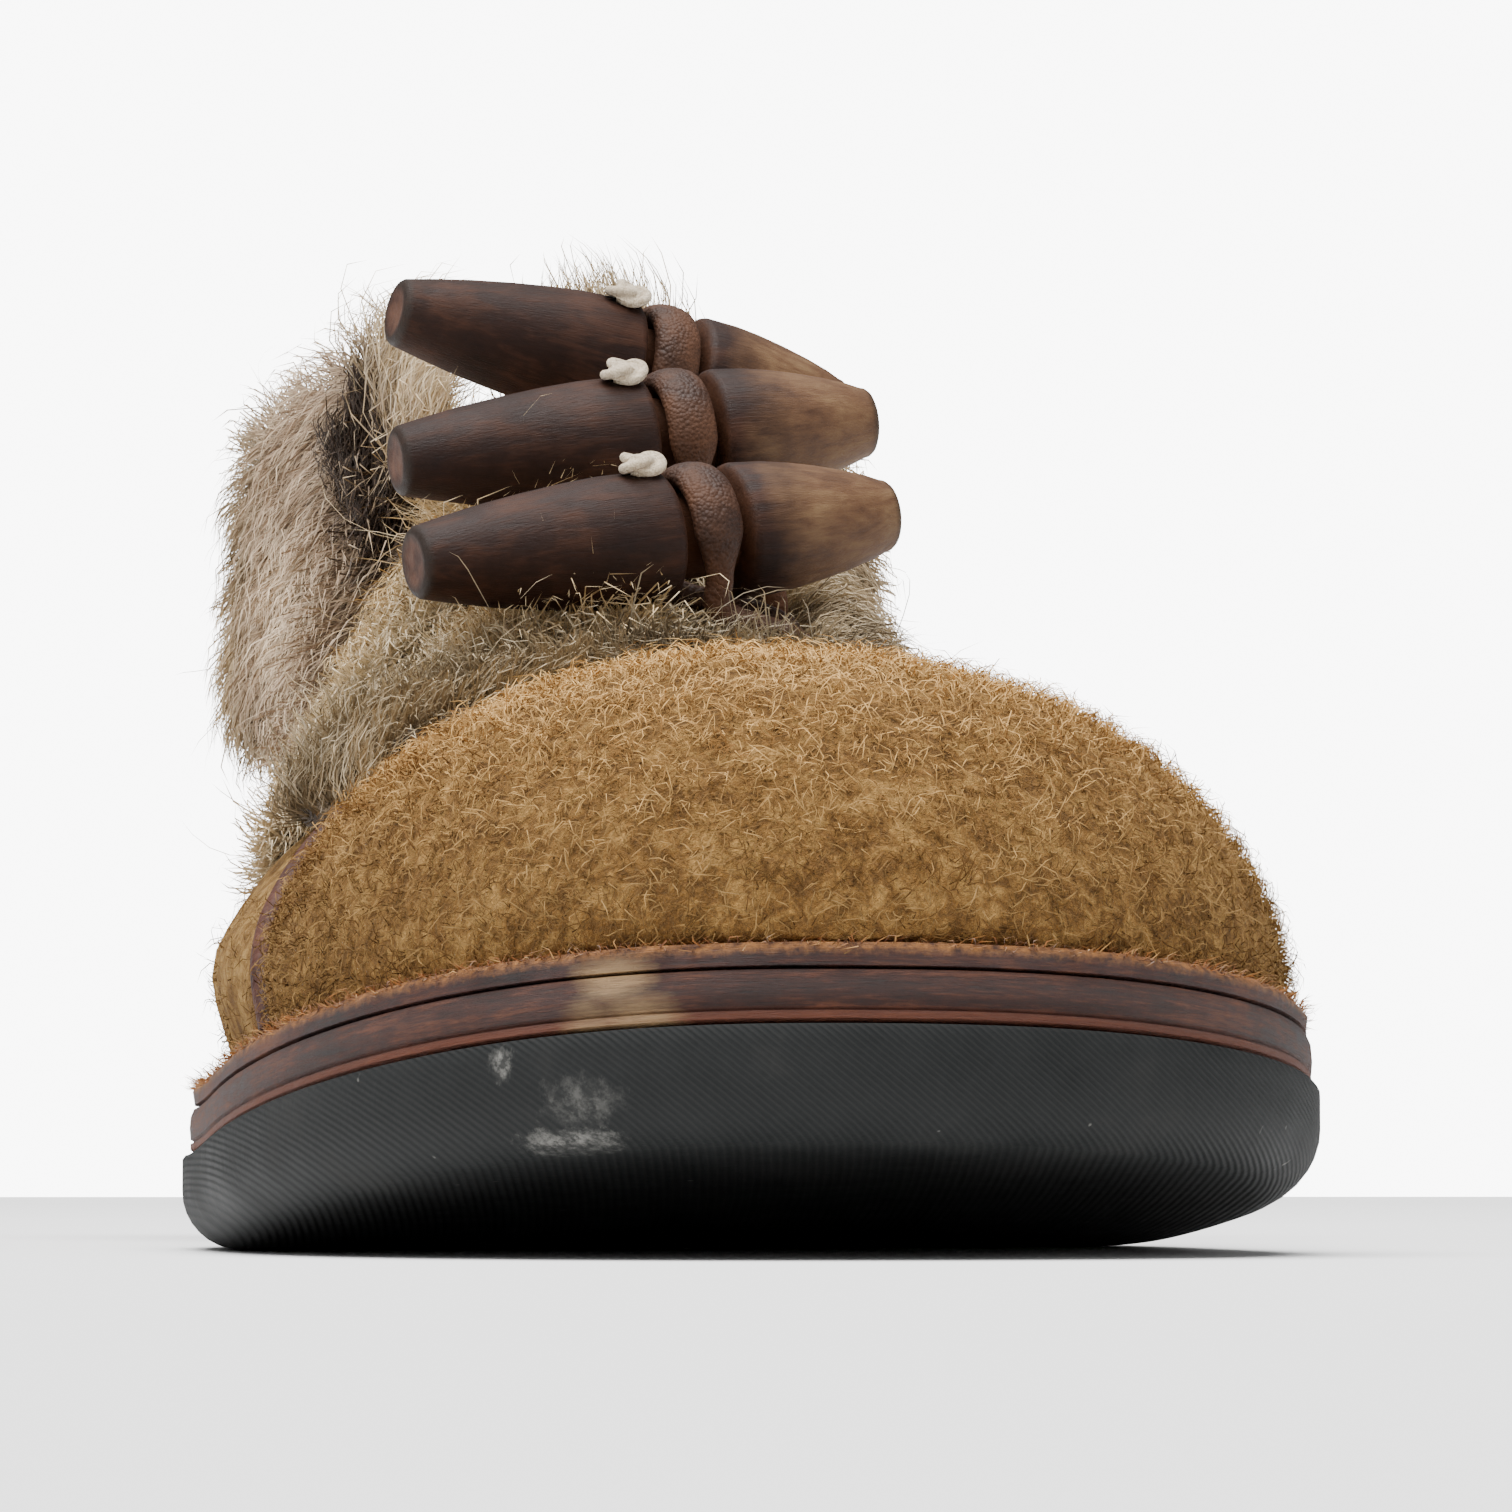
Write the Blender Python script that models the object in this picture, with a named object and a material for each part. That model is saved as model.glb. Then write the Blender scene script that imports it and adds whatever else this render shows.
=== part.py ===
"""Left shoe in wool felt and fur, closed by three wooden toggles on fur straps.

Units are metres. +Z is up, the toe points along -Y and the outer side of the foot is +X.
The origin lies on the floor under the middle of the outsole. Along the shoe, a place is a
station: 0 at the toe tip, 1 at the back of the heel. Round the last, a place is a girth:
-1 at the inner feather edge, 0 on the ridge, +1 at the outer feather edge.
"""

import math

import bmesh
import bpy
from mathutils import Matrix, Vector

SHOE_LENGTH = 0.300
BALL_WIDTH = 0.1045
GAP = 0.0003

# Sole
TOE_SPRING = 0.0105
HEEL_HEIGHT = 0.0175
OUTSOLE_THICKNESS = 0.0093
OUTSOLE_WALL = 0.0035
HEEL_EDGE_ROUND = 0.0012
MIDSOLE_THICKNESS = 0.0047
MIDSOLE_INSET = 0.0008
WELT_THICKNESS = 0.0020
WELT_INSET = 0.0012
HEEL_CAP_THICKNESS = 0.0070
HEEL_INSET = 0.0010
INSOLE_THICKNESS = 0.0030

# Upper
UPPER_WALL = 0.0022
CAP_THICKNESS = 0.0027
CAP_LEDGE = 0.0028
QUARTER_LEDGE = 0.0044
INSTEP_HEIGHT = 0.066
COLLAR_HEIGHT = 0.066
PIPING_RADIUS = 0.0013
FUR_THICKNESS = 0.0060
COLLAR_FUR_THICKNESS = 0.0048
TONGUE_THICKNESS = 0.0025

# Fastening
STRAP_WIDTH = 0.0235
TOGGLE_INNER_LENGTH = 0.0310
TOGGLE_OUTER_LENGTH = 0.0222
TOGGLE_RADIUS = 0.0070
TOGGLE_END_RADIUS = 0.0038
TOGGLE_BEVEL = 0.0010
WAIST_RADIUS = 0.0044
WAIST_LENGTH = 0.0062
LOOP_RADIUS = 0.0014
LOOP_WIDTH = 0.0054
TIE_RADIUS = 0.0012
TIE_PLACE = 0.0058
KNOT_RADIUS = 0.0027
KNOT_HEIGHT = 0.0016

# Rows of station, inner half width and outer half width, as shares of the ball width.
OUTLINE = (
    (0.00, 0.492, 0.478),
    (0.15, 0.496, 0.486),
    (0.32, 0.500, 0.497),
    (0.39, 0.491, 0.500),
    (0.50, 0.430, 0.472),
    (0.60, 0.360, 0.428),
    (0.70, 0.325, 0.388),
    (0.80, 0.325, 0.362),
    (0.90, 0.334, 0.350),
    (1.00, 0.334, 0.350),
)
TOE_ROUND, TOE_POWER = 0.267, 2.4
HEEL_ROUND, HEEL_POWER = 0.130, 2.2
TIP_LEAN, HEEL_LEAN = -0.035, 0.010

# Rows of station, ridge height as a share of the instep height, ridge place from the inner
# to the outer feather edge, and the fullness of a section low down and near the ridge.
SECTIONS = (
    (0.00, 0.470, 0.49, 0.62, 0.62),
    (0.15, 0.480, 0.48, 0.62, 0.60),
    (0.27, 0.500, 0.46, 0.60, 0.56),
    (0.34, 0.545, 0.45, 0.56, 0.50),
    (0.42, 0.635, 0.43, 0.50, 0.44),
    (0.52, 0.850, 0.42, 0.46, 0.42),
    (0.61, 0.945, 0.43, 0.50, 0.42),
    (0.67, 1.050, 0.45, 0.56, 0.46),
    (0.74, 1.340, 0.48, 0.64, 0.62),
    (0.82, 1.750, 0.50, 0.70, 0.82),
    (0.91, 1.950, 0.50, 0.72, 0.88),
    (1.00, 1.950, 0.50, 0.72, 0.88),
)
TOP_ROUND, TOP_POWER = 0.235, 2.2

# Rows of station and the throat's inner and outer half widths, as shares of the ball width.
THROAT = (
    (0.00, 0.000, 0.000),
    (0.385, 0.000, 0.000),
    (0.43, 0.075, 0.075),
    (0.50, 0.105, 0.110),
    (0.60, 0.120, 0.150),
    (0.67, 0.125, 0.200),
    (0.74, 0.160, 0.210),
    (0.84, 0.000, 0.000),
    (1.00, 0.000, 0.000),
)

# Rows of station and the collar's inner and outer height, as shares of that at the ankle.
COLLAR = (
    (0.00, 1.40, 1.40),
    (0.60, 1.30, 1.25),
    (0.67, 1.22, 1.03),
    (0.73, 1.12, 0.97),
    (0.80, 1.03, 0.96),
    (0.90, 1.02, 1.02),
    (1.00, 1.07, 1.07),
)

# Where the sole flexes, and how far the heel and the inner ball swell beyond the feather edge.
FLEX_INNER, FLEX_OUTER = 0.335, 0.450
SPRING_CURVE = 1.5
ARCH_START, ARCH_END = 0.550, 0.760
HEEL_BREAST = 0.745
BACK_START = 0.78
BACK_SWELL = 0.0008
BACK_LEAN = 0.0080
INNER_SWELL = 0.0056
SWELL_LEAD, SWELL_RISE, SWELL_FADE, SWELL_END = 0.030, 0.115, 0.345, 0.430

CAP_END_TOP, CAP_END_SIDE = 0.293, 0.185
VAMP_END = 0.372
VAMP_LOW, VAMP_LOW_INNER = 0.63, 0.52
STRAP_STATIONS = (0.417, 0.512, 0.604)
STRAP_LOW = (-0.64, -0.63, -0.62)
STRAP_TIP = 0.18
LOOP_END = 0.225
STRAP_SLANT = 0.030
FUR_START, FUR_END = 0.385, 0.655
FUR_INNER_EDGE, FUR_LOW = 0.27, 0.70
COLLAR_FUR_START = 0.665
COLLAR_FUR_DEPTH = 0.62
TONGUE_START, TONGUE_END = 0.375, 0.690
TONGUE_WIDTH = 0.46

# Rows for each toggle: station and girth of its waist, height over its rest as a share of
# its radius, then yaw and roll in degrees.
TOGGLES = (
    (0.407, 0.058, 0.2, 17.0, -3.0),
    (0.504, 0.058, 0.3, 12.0, -2.0),
    (0.597, 0.045, 0.6, 8.0, 14.5),
)

TOE_STEPS, MIDDLE_STEPS, HEEL_STEPS = 11, 18, 7
UPPER_STEPS = 8
SEAT_FADE = 0.012
TIP = 1e-6


def row_values(rows, station):
    """Reads a table between its rows, with no overshoot past a row's value."""
    last = len(rows) - 1
    below = max(i for i in range(last) if rows[i][0] <= station or i == 0)
    start, end = rows[below], rows[below + 1]
    span = end[0] - start[0]
    share = min(1.0, max(0.0, (station - start[0]) / span))
    values = []
    for column in range(1, len(start)):
        slopes = []
        for i in (below, below + 1):
            if i in (0, last):
                slopes.append(0.0)
                continue
            before = (rows[i][column] - rows[i - 1][column]) / (rows[i][0] - rows[i - 1][0])
            after = (rows[i + 1][column] - rows[i][column]) / (rows[i + 1][0] - rows[i][0])
            turning = before * after <= 0
            slopes.append(0.0 if turning else 2 * before * after / (before + after))
        s2, s3 = share * share, share**3
        values.append(
            (2 * s3 - 3 * s2 + 1) * start[column]
            + (s3 - 2 * s2 + share) * span * slopes[0]
            + (3 * s2 - 2 * s3) * end[column]
            + (s3 - s2) * span * slopes[1]
        )
    return values


def mix(start, end, share):
    return start + (end - start) * share


def ease(share):
    share = min(1.0, max(0.0, share))
    return share * share * (3 - 2 * share)


def rounded_end(distance, reach, power):
    """Share of the full width at a distance from an end that is rounded over a reach."""
    if distance >= reach:
        return 1.0
    return max(0.0, 1 - (1 - distance / reach) ** power) ** (1 / power)


def arc_spaced(steps, reach, power):
    """Distances from a rounded end, even along its curve, from nothing to the reach."""
    quarter = math.pi / 2
    return [reach * (1 - math.cos(quarter * i / steps) ** (2 / power)) for i in range(steps + 1)]


def all_stations():
    """Stations of the whole shoe: close together round the toe and the heel."""
    toe = arc_spaced(TOE_STEPS, TOE_ROUND, TOE_POWER)
    heel = [1 - d for d in arc_spaced(HEEL_STEPS, HEEL_ROUND, HEEL_POWER)[::-1]]
    middle = [mix(toe[-1], heel[0], i / MIDDLE_STEPS) for i in range(1, MIDDLE_STEPS)]
    return toe + middle + heel


def edge_point(station, side):
    """Point of the outsole's outline, inner side -1 or outer side +1."""
    inner, outer = row_values(OUTLINE, station)
    middle = mix(TIP_LEAN, HEEL_LEAN, station) * BALL_WIDTH
    full = side * (outer if side > 0 else inner) * BALL_WIDTH
    width = rounded_end(station, TOE_ROUND, TOE_POWER)
    width *= rounded_end(1 - station, HEEL_ROUND, HEEL_POWER)
    return Vector((middle + (full - middle) * width, (station - 0.5) * SHOE_LENGTH))


def edge_normal(station, side):
    """Outward direction of the outline in plan."""
    if station <= TIP:
        return Vector((0.0, -1.0))
    if station >= 1 - TIP:
        return Vector((0.0, 1.0))
    step = min(0.002, station / 2, (1 - station) / 2)
    along = edge_point(station + step, side) - edge_point(station - step, side)
    return Vector((side * along.y, -side * along.x)).normalized()


def outline(station, side, inset):
    return edge_point(station, side) - edge_normal(station, side) * inset


def underside(place):
    """Height of the outsole's underside: toe spring, flat tread, arch and heel seat."""
    station = place.y / SHOE_LENGTH + 0.5
    flex = mix(FLEX_INNER, FLEX_OUTER, 0.5 + place.x / BALL_WIDTH)
    toe = TOE_SPRING * max(0.0, 1 - station / flex) ** SPRING_CURVE
    heel = HEEL_HEIGHT * ease((station - ARCH_START) / (ARCH_END - ARCH_START))
    return toe + heel


def sole_point(place, rise):
    return Vector((place.x, place.y, underside(place) + rise))


SEAT_RISE = OUTSOLE_THICKNESS + MIDSOLE_THICKNESS + GAP


def feather_inset(station):
    """How far the last's feather edge lies inside the outsole's outline."""
    toe = CAP_LEDGE + CAP_THICKNESS + GAP + UPPER_WALL
    heel = QUARTER_LEDGE + UPPER_WALL
    return mix(toe, heel, ease((station - CAP_END_SIDE) / (FLEX_OUTER - CAP_END_SIDE)))


def section(station):
    """Feather points of both sides, ridge point and fullness of one section of the last."""
    inset = feather_inset(station)
    feet = {s: sole_point(outline(station, s, inset), SEAT_RISE) for s in (-1, 1)}
    height, lean, low, high = row_values(SECTIONS, station)
    ridge = mix(feet[-1], feet[1], lean)
    ridge.z += height * INSTEP_HEIGHT * rounded_end(station, TOP_ROUND, TOP_POWER)
    return feet, ridge, low, high


def bezier(points, share):
    a, b, c, d = points
    rest = 1 - share
    return a * rest**3 + b * 3 * rest**2 * share + c * 3 * rest * share**2 + d * share**3


def last_point(station, girth):
    """Point of the last's surface, with the back curve of the heel."""
    station = min(1.0, max(0.0, station))
    feet, ridge, low, high = section(station)
    foot = feet[1 if girth >= 0 else -1]
    shoulder = Vector((foot.x, foot.y, mix(foot.z, ridge.z, low)))
    crown = Vector((mix(ridge.x, foot.x, high), mix(ridge.y, foot.y, high), ridge.z))
    point = bezier((foot, shoulder, crown, ridge), 1 - abs(girth))
    rise = (point.z - foot.z) / COLLAR_HEIGHT
    back = ease((station - BACK_START) / (1 - BACK_START))
    swell = BACK_SWELL * math.sin(math.pi * min(1.0, rise)) - BACK_LEAN * rise**2
    point.y += back * swell
    if girth < 0:
        climb = 1 - abs(girth)
        reach = ease((station - cap_end(girth) + SWELL_LEAD) / SWELL_RISE)
        reach *= ease((SWELL_END - station) / (SWELL_END - SWELL_FADE))
        point.x -= INNER_SWELL * reach * ease((climb - 0.04) / 0.22) * ease((1 - climb) / 0.6)
    return point


def last_normal(station, girth):
    """Outward normal of the last's surface."""
    station = min(1.0, max(0.0, station))
    if station <= TIP:
        return Vector((0.0, -1.0, 0.0))
    step = 0.004
    low, high = max(-1.0, girth - step), min(1.0, girth + step)
    if station >= 1 - TIP:
        low, high = abs(girth) - step, min(1.0, abs(girth) + step)
    around = last_point(station, high) - last_point(station, low)
    if station >= 1 - TIP:
        normal = Vector((0.0, -around.z, around.y)).normalized()
        return normal if normal.y > 0 else -normal
    step = min(0.003, station / 2, (1 - station) / 2)
    along = last_point(station + step, girth) - last_point(station - step, girth)
    return around.cross(along).normalized()


def on_last(station, girth, lift, seat=0.0):
    """Point above the last; near the feather edge it keeps its height over the sole."""
    base = last_point(station, girth)
    point = base + last_normal(station, girth) * lift
    foot = section(station)[0][1 if girth >= 0 else -1]
    near = max(0.0, 1 - max(0.0, point.z - foot.z) / SEAT_FADE)
    point.z += near * (underside(point) - underside(foot) + seat)
    return point


def upper_edge(station, side):
    """Share of the way from feather edge to ridge where the upper ends at throat or collar."""
    feet, ridge = section(station)[:2]
    column = 1 if side > 0 else 0
    throat = row_values(THROAT, station)[column] * BALL_WIDTH
    collar = feet[side].z + row_values(COLLAR, station)[column] * COLLAR_HEIGHT
    low, high = 0.0, 1.0
    for _ in range(30):
        middle = (low + high) / 2
        point = last_point(station, side * (1 - middle))
        if abs(point.x - ridge.x) < throat or point.z > collar:
            high = middle
        else:
            low = middle
    return 1.0 if high > 1 - 1e-4 else high


def material(name, colour, roughness):
    made = bpy.data.materials.new(name)
    made.use_nodes = True
    shader = made.node_tree.nodes["Principled BSDF"]
    shader.inputs["Base Color"].default_value = (*colour, 1.0)
    shader.inputs["Roughness"].default_value = roughness
    shader.inputs["Metallic"].default_value = 0.0
    return made


def finish(name, mesh, finish_material, smooth=40.0):
    """Closes a bmesh into an object with its faces out and its round parts smooth."""
    bmesh.ops.remove_doubles(mesh, verts=mesh.verts, dist=1e-6)
    bmesh.ops.dissolve_degenerate(mesh, edges=mesh.edges, dist=1e-7)
    bmesh.ops.recalc_face_normals(mesh, faces=mesh.faces)
    bmesh.ops.triangulate(mesh, faces=mesh.faces)
    data = bpy.data.meshes.new(name)
    mesh.to_mesh(data)
    mesh.free()
    data.shade_smooth()
    data.set_sharp_from_angle(angle=math.radians(smooth))
    data.materials.append(finish_material)
    made = bpy.data.objects.new(name, data)
    bpy.context.scene.collection.objects.link(made)
    return made


def loop_of(mesh, points):
    verts = [mesh.verts.new(p) for p in points]
    return [mesh.edges.new((verts[i - 1], verts[i])) for i in range(len(verts))]


def sole_loop(inset, rise, stations):
    """Closed loop round the sole, from the toe tip along the outer side and back.

    The inset and the rise are lengths, or functions of the station.
    """
    places = [(1, s) for s in stations] + [(-1, s) for s in stations[-2:0:-1]]
    points = []
    for side, station in places:
        inward = inset(station) if callable(inset) else inset
        height = rise(station) if callable(rise) else rise
        points.append(sole_point(outline(station, side, inward), height))
    return points


def cap_loop(mesh, edges, count):
    """Fills a sole loop with strips from side to side."""
    mesh.verts.ensure_lookup_table()
    verts = [v for e in edges for v in e.verts]
    first = min(v.index for v in verts)
    total = len(edges)
    for i in range(count):
        a, b = first + i, first + i + 1
        c, d = first + (total - i - 1) % total, first + (total - i) % total
        corners = [mesh.verts[j] for j in dict.fromkeys((a, b, c, d))]
        mesh.faces.new(corners)


def layered_sole(name, layers, finish_material, stations):
    """Solid between loops of the sole's outline, each layer an inset and a rise."""
    mesh = bmesh.new()
    loops = [loop_of(mesh, sole_loop(inset, rise, stations)) for inset, rise in layers]
    mesh.verts.index_update()
    for below, above in zip(loops, loops[1:]):
        bmesh.ops.bridge_loops(mesh, edges=below + above)
    for edges in (loops[0], loops[-1]):
        cap_loop(mesh, edges, len(stations) - 1)
    return finish(name, mesh, finish_material, 50.0)


def bend_slab(name, place, across, along, finish_material, smooth=50.0):
    """A unit slab bent to a place function of its width, length and depth shares."""
    mesh = bmesh.new()
    bmesh.ops.create_grid(mesh, x_segments=across, y_segments=along, size=0.5)
    raised = bmesh.ops.extrude_face_region(mesh, geom=mesh.faces[:], use_keep_orig=True)
    for part in raised["geom"]:
        if isinstance(part, bmesh.types.BMVert):
            part.co.z = 1.0
    for vert in mesh.verts:
        vert.co = place(vert.co.x + 0.5, vert.co.y + 0.5, vert.co.z)
    return finish(name, mesh, finish_material, smooth)


def sweep(name, points, half_width, radius, finish_material, middle_way, sides=6):
    """Cord or strip through the points, its wide way set at the middle and carried both ways."""
    last = len(points) - 1
    ways = {}
    for order in (range(last // 2, -1, -1), range(last // 2, last + 1)):
        across = middle_way
        for i in order:
            along = (points[min(i + 1, last)] - points[max(i - 1, 0)]).normalized()
            across = (across - along * across.dot(along)).normalized()
            ways[i] = (across, along.cross(across))
    mesh = bmesh.new()
    rings = []
    for i, point in enumerate(points):
        across, other = ways[i]
        wide = half_width(i / last)
        turns = [2 * math.pi * k / sides for k in range(sides)]
        ring = [point + across * math.cos(t) * wide + other * math.sin(t) * radius for t in turns]
        rings.append([mesh.verts.new(p) for p in ring])
    for low, high in zip(rings, rings[1:]):
        for k in range(sides):
            mesh.faces.new((low[k - 1], low[k], high[k], high[k - 1]))
    mesh.faces.new(rings[0])
    mesh.faces.new(rings[-1])
    return finish(name, mesh, finish_material, 65.0)


def smooth_path(points, count):
    """Evenly numbered points on a smooth curve through the given ones."""
    ends = [points[0] * 2 - points[1], *points, points[-1] * 2 - points[-2]]
    path = []
    for i in range(count + 1):
        place = i / count * (len(points) - 1)
        k = min(int(place), len(points) - 2)
        t = place - k
        a, b, c, d = ends[k : k + 4]
        path.append(
            (b * 2 + (c - a) * t + (a * 2 - b * 5 + c * 4 - d) * t**2 + (b * 3 - a - c * 3 + d) * t**3)
            * 0.5
        )
    return path


def outsole():
    """Black rubber sole with an upright wall above a rolled lower edge."""
    mesh = bmesh.new()
    stations = all_stations()
    roll = OUTSOLE_THICKNESS - OUTSOLE_WALL

    def rolled_loop(share):
        """Loop on the rolled edge, 0 at the tread and 1 at the wall."""
        turn = share * math.pi / 2

        def radius(station):
            return mix(roll, HEEL_EDGE_ROUND, ease((station - FLEX_OUTER) / 0.2))

        def inset(station):
            return radius(station) * (1 - math.sin(turn))

        def rise(station):
            return radius(station) * (1 - math.cos(turn))

        return sole_loop(inset, rise, stations)

    loops = [loop_of(mesh, rolled_loop(share)) for share in (0.0, 0.4, 1.0)]
    loops.append(loop_of(mesh, sole_loop(0.0, OUTSOLE_THICKNESS, stations)))
    mesh.verts.index_update()
    for below, above in zip(loops, loops[1:]):
        bmesh.ops.bridge_loops(mesh, edges=below + above)
    for edges in (loops[0], loops[-1]):
        cap_loop(mesh, edges, len(stations) - 1)
    return finish("outsole", mesh, RUBBER, 50.0)


def midsole():
    rise = OUTSOLE_THICKNESS + GAP
    layers = [(MIDSOLE_INSET, rise), (MIDSOLE_INSET, rise + MIDSOLE_THICKNESS - GAP)]
    return layered_sole("midsole", layers, LEATHER, all_stations())


def welt():
    """Raw suede strip on the midsole round the foot of the upper."""
    mesh = bmesh.new()
    stations = all_stations()

    def ring(inner, rise):
        edge = (lambda s: feather_inset(s) - UPPER_WALL - GAP) if inner else WELT_INSET
        return sole_loop(edge, rise, stations)

    low = SEAT_RISE
    high = SEAT_RISE + WELT_THICKNESS
    rings = [loop_of(mesh, ring(i, z)) for i, z in ((0, low), (0, high), (1, high), (1, low))]
    for i in range(4):
        bmesh.ops.bridge_loops(mesh, edges=rings[i - 1] + rings[i])
    return finish("welt", mesh, SUEDE, 40.0)


def heel_block(name, low, high, finish_material):
    """Part of the heel between two heights; above the last one it follows the outsole."""
    mesh = bmesh.new()
    stations = [mix(HEEL_BREAST, 1.0, math.sin(math.pi / 2 * i / 9)) for i in range(10)]
    loops = []
    for height in (low, high):
        places = [outline(s, 1, HEEL_INSET) for s in stations]
        places += [outline(s, -1, HEEL_INSET) for s in stations[-2::-1]]
        points = [Vector((p.x, p.y, min(height, underside(p) - GAP))) for p in places]
        loops.append(loop_of(mesh, points))
    mesh.verts.index_update()
    bmesh.ops.bridge_loops(mesh, edges=loops[0] + loops[1])
    mesh.verts.ensure_lookup_table()
    total = len(loops[0])
    for start in (0, total):
        for i in range(len(stations) - 1):
            corners = (i, i + 1, total - 2 - i, total - 1 - i)
            mesh.faces.new([mesh.verts[start + j] for j in dict.fromkeys(corners)])
    return finish(name, mesh, finish_material, 40.0)


def insole():
    """Leather sock inside the upper."""


    def edge(station):
        return feather_inset(station) + 2 * GAP

    layers = [(edge, SEAT_RISE), (edge, SEAT_RISE + INSOLE_THICKNESS)]
    return layered_sole("insole", layers, SOCK, all_stations())


def upper():
    """One hollow shell, open at the throat, at the collar and underneath."""
    mesh = bmesh.new()
    stations = all_stations()
    station_of = mesh.verts.layers.float.new("station")
    girth_of = mesh.verts.layers.float.new("girth")
    for side in (-1, 1):
        known = set(mesh.verts)
        steps = len(stations) - 1
        bmesh.ops.create_grid(mesh, x_segments=steps, y_segments=UPPER_STEPS, size=0.5)
        for vert in set(mesh.verts) - known:
            station = stations[round((vert.co.x + 0.5) * steps)]
            girth = side * (1 - (vert.co.y + 0.5) * upper_edge(station, side))
            vert[station_of], vert[girth_of] = station, girth
            vert.co = last_point(station, girth)
    bmesh.ops.remove_doubles(mesh, verts=mesh.verts, dist=1e-6)
    raised = bmesh.ops.extrude_face_region(mesh, geom=mesh.faces[:], use_keep_orig=True)
    for part in raised["geom"]:
        if isinstance(part, bmesh.types.BMVert):
            part.co = on_last(part[station_of], part[girth_of], UPPER_WALL)
    return finish("upper", mesh, QUARTER_FELT)


CAP_LIFT = UPPER_WALL + GAP
FUR_LIFT = UPPER_WALL + 1.5 * GAP


def cap_end(girth):
    """Station where the toe cap ends, further forward on the sides than on top."""
    return mix(CAP_END_TOP, CAP_END_SIDE, girth * girth)


def toe_cap():
    """Thick felt over the toe, resting on the welt."""

    def place(across, along, depth):
        girth = mix(-1.0, 1.0, across)
        station = cap_end(girth) * (1 - math.cos(math.pi / 2 * along))
        return on_last(station, girth, CAP_LIFT + depth * CAP_THICKNESS, WELT_THICKNESS + GAP)

    return bend_slab("toe_cap", place, 16, 10, FELT)


def piping(name, side):
    """Dark leather bead in the seam behind the toe cap, from the welt to the fur."""
    lift = UPPER_WALL + GAP + PIPING_RADIUS
    behind = 1.5 * (PIPING_RADIUS + 2 * GAP) / SHOE_LENGTH
    points = []
    top = (VAMP_LOW_INNER if side < 0 else VAMP_LOW) + 0.02
    for i in range(13):
        girth = mix(0.985, top, i / 12)
        seat = WELT_THICKNESS + GAP
        points.append(on_last(cap_end(girth) + behind, side * girth, lift, seat))
    return sweep(name, points, lambda share: PIPING_RADIUS, PIPING_RADIUS, PIPING, Vector((side, 0, 0)))


def fur_depth(across, along, lock_rows, lock_columns):
    """Share of the fur's thickness: pointed locks in staggered rows, thinner at the rim."""
    row = along * lock_rows
    column = across * lock_columns + 0.5 * (int(row) % 2)
    wedge = 1 - row % 1
    crest = 1 - abs(2 * (column % 1) - 1)
    rim = min(across, 1 - across, along, 1 - along)
    return mix(0.55, 1.0, min(1.0, rim * 8)) * mix(0.78, 1.0, wedge * crest)


def fur_vamp():
    """Fur on the top of the foot between the toe cap and the first strap."""

    def place(across, along, depth):
        girth = mix(-VAMP_LOW_INNER, VAMP_LOW, across)
        start = cap_end(girth) + GAP / SHOE_LENGTH
        end = VAMP_END + STRAP_SLANT * max(0.0, -girth)
        thickness = FUR_THICKNESS * fur_depth(across, along, 3, 14)
        return on_last(mix(start, end, along), girth, FUR_LIFT + depth * thickness)

    return bend_slab("fur_vamp", place, 24, 5, FUR, 30.0)


def strap(number):
    """Fur strap from low on the inner side over the throat to its rounded tip."""
    middle = STRAP_STATIONS[number]
    low = STRAP_LOW[number]

    def place(across, along, depth):
        girth = mix(low, STRAP_TIP, along)
        tip = math.sqrt(max(0.0, 1 - max(0.0, along * 6 - 5) ** 2))
        width = STRAP_WIDTH * mix(0.35, 1.0, tip) / SHOE_LENGTH
        station = middle + STRAP_SLANT * max(0.0, -girth) + (across - 0.5) * width
        thickness = FUR_THICKNESS * fur_depth(across, along, 9, 4)
        return on_last(station, girth, FUR_LIFT + depth * thickness)

    return bend_slab(f"strap_{number + 1}", place, 5, 20, FUR, 30.0)


def fur_lateral():
    """Fur quarter on the outer side, from the throat down to the felt."""

    def place(across, along, depth):
        low = mix(VAMP_LOW, FUR_LOW, min(1.0, along * 3))
        girth = mix(FUR_INNER_EDGE, low, across)
        station = mix(FUR_START, FUR_END, along)
        thickness = FUR_THICKNESS * fur_depth(across, along, 8, 5)
        return on_last(station, girth, FUR_LIFT + depth * thickness)

    return bend_slab("fur_lateral", place, 9, 16, FUR, 30.0)


def fur_collar():
    """Fur round the heel, between the felt of the quarters and the collar's edge."""
    outer = [s for s in all_stations() if s > COLLAR_FUR_START]
    round_heel = [(1, s) for s in outer] + [(-1, s) for s in outer[-2::-1]]

    def place(across, along, depth):
        side, station = round_heel[round(along * (len(round_heel) - 1))]
        top = 1 - upper_edge(station, side)
        girth = mix(mix(top, 1.0, COLLAR_FUR_DEPTH), top + 0.004, across)
        thickness = COLLAR_FUR_THICKNESS * fur_depth(across, along, 13, 4)
        return on_last(station, side * girth, FUR_LIFT + GAP + depth * thickness)

    return bend_slab("fur_collar", place, 6, len(round_heel) - 1, FUR, 30.0)


def tongue():
    """Felt tongue under the throat."""

    def place(across, along, depth):
        station = mix(TONGUE_START, TONGUE_END, along)
        girth = mix(-TONGUE_WIDTH, TONGUE_WIDTH, across)
        return on_last(station, girth, -2 * GAP - TONGUE_THICKNESS * (1 - depth))

    return bend_slab("tongue", place, 6, 11, LINING)


STRAP_TOP = FUR_LIFT + FUR_THICKNESS


def toggle_lift(number):
    """Height of a toggle's axis over the last."""
    rest = STRAP_TOP + GAP + KNOT_HEIGHT / 2 + GAP
    return rest + TOGGLE_RADIUS * (1 + TOGGLES[number][2])


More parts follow.
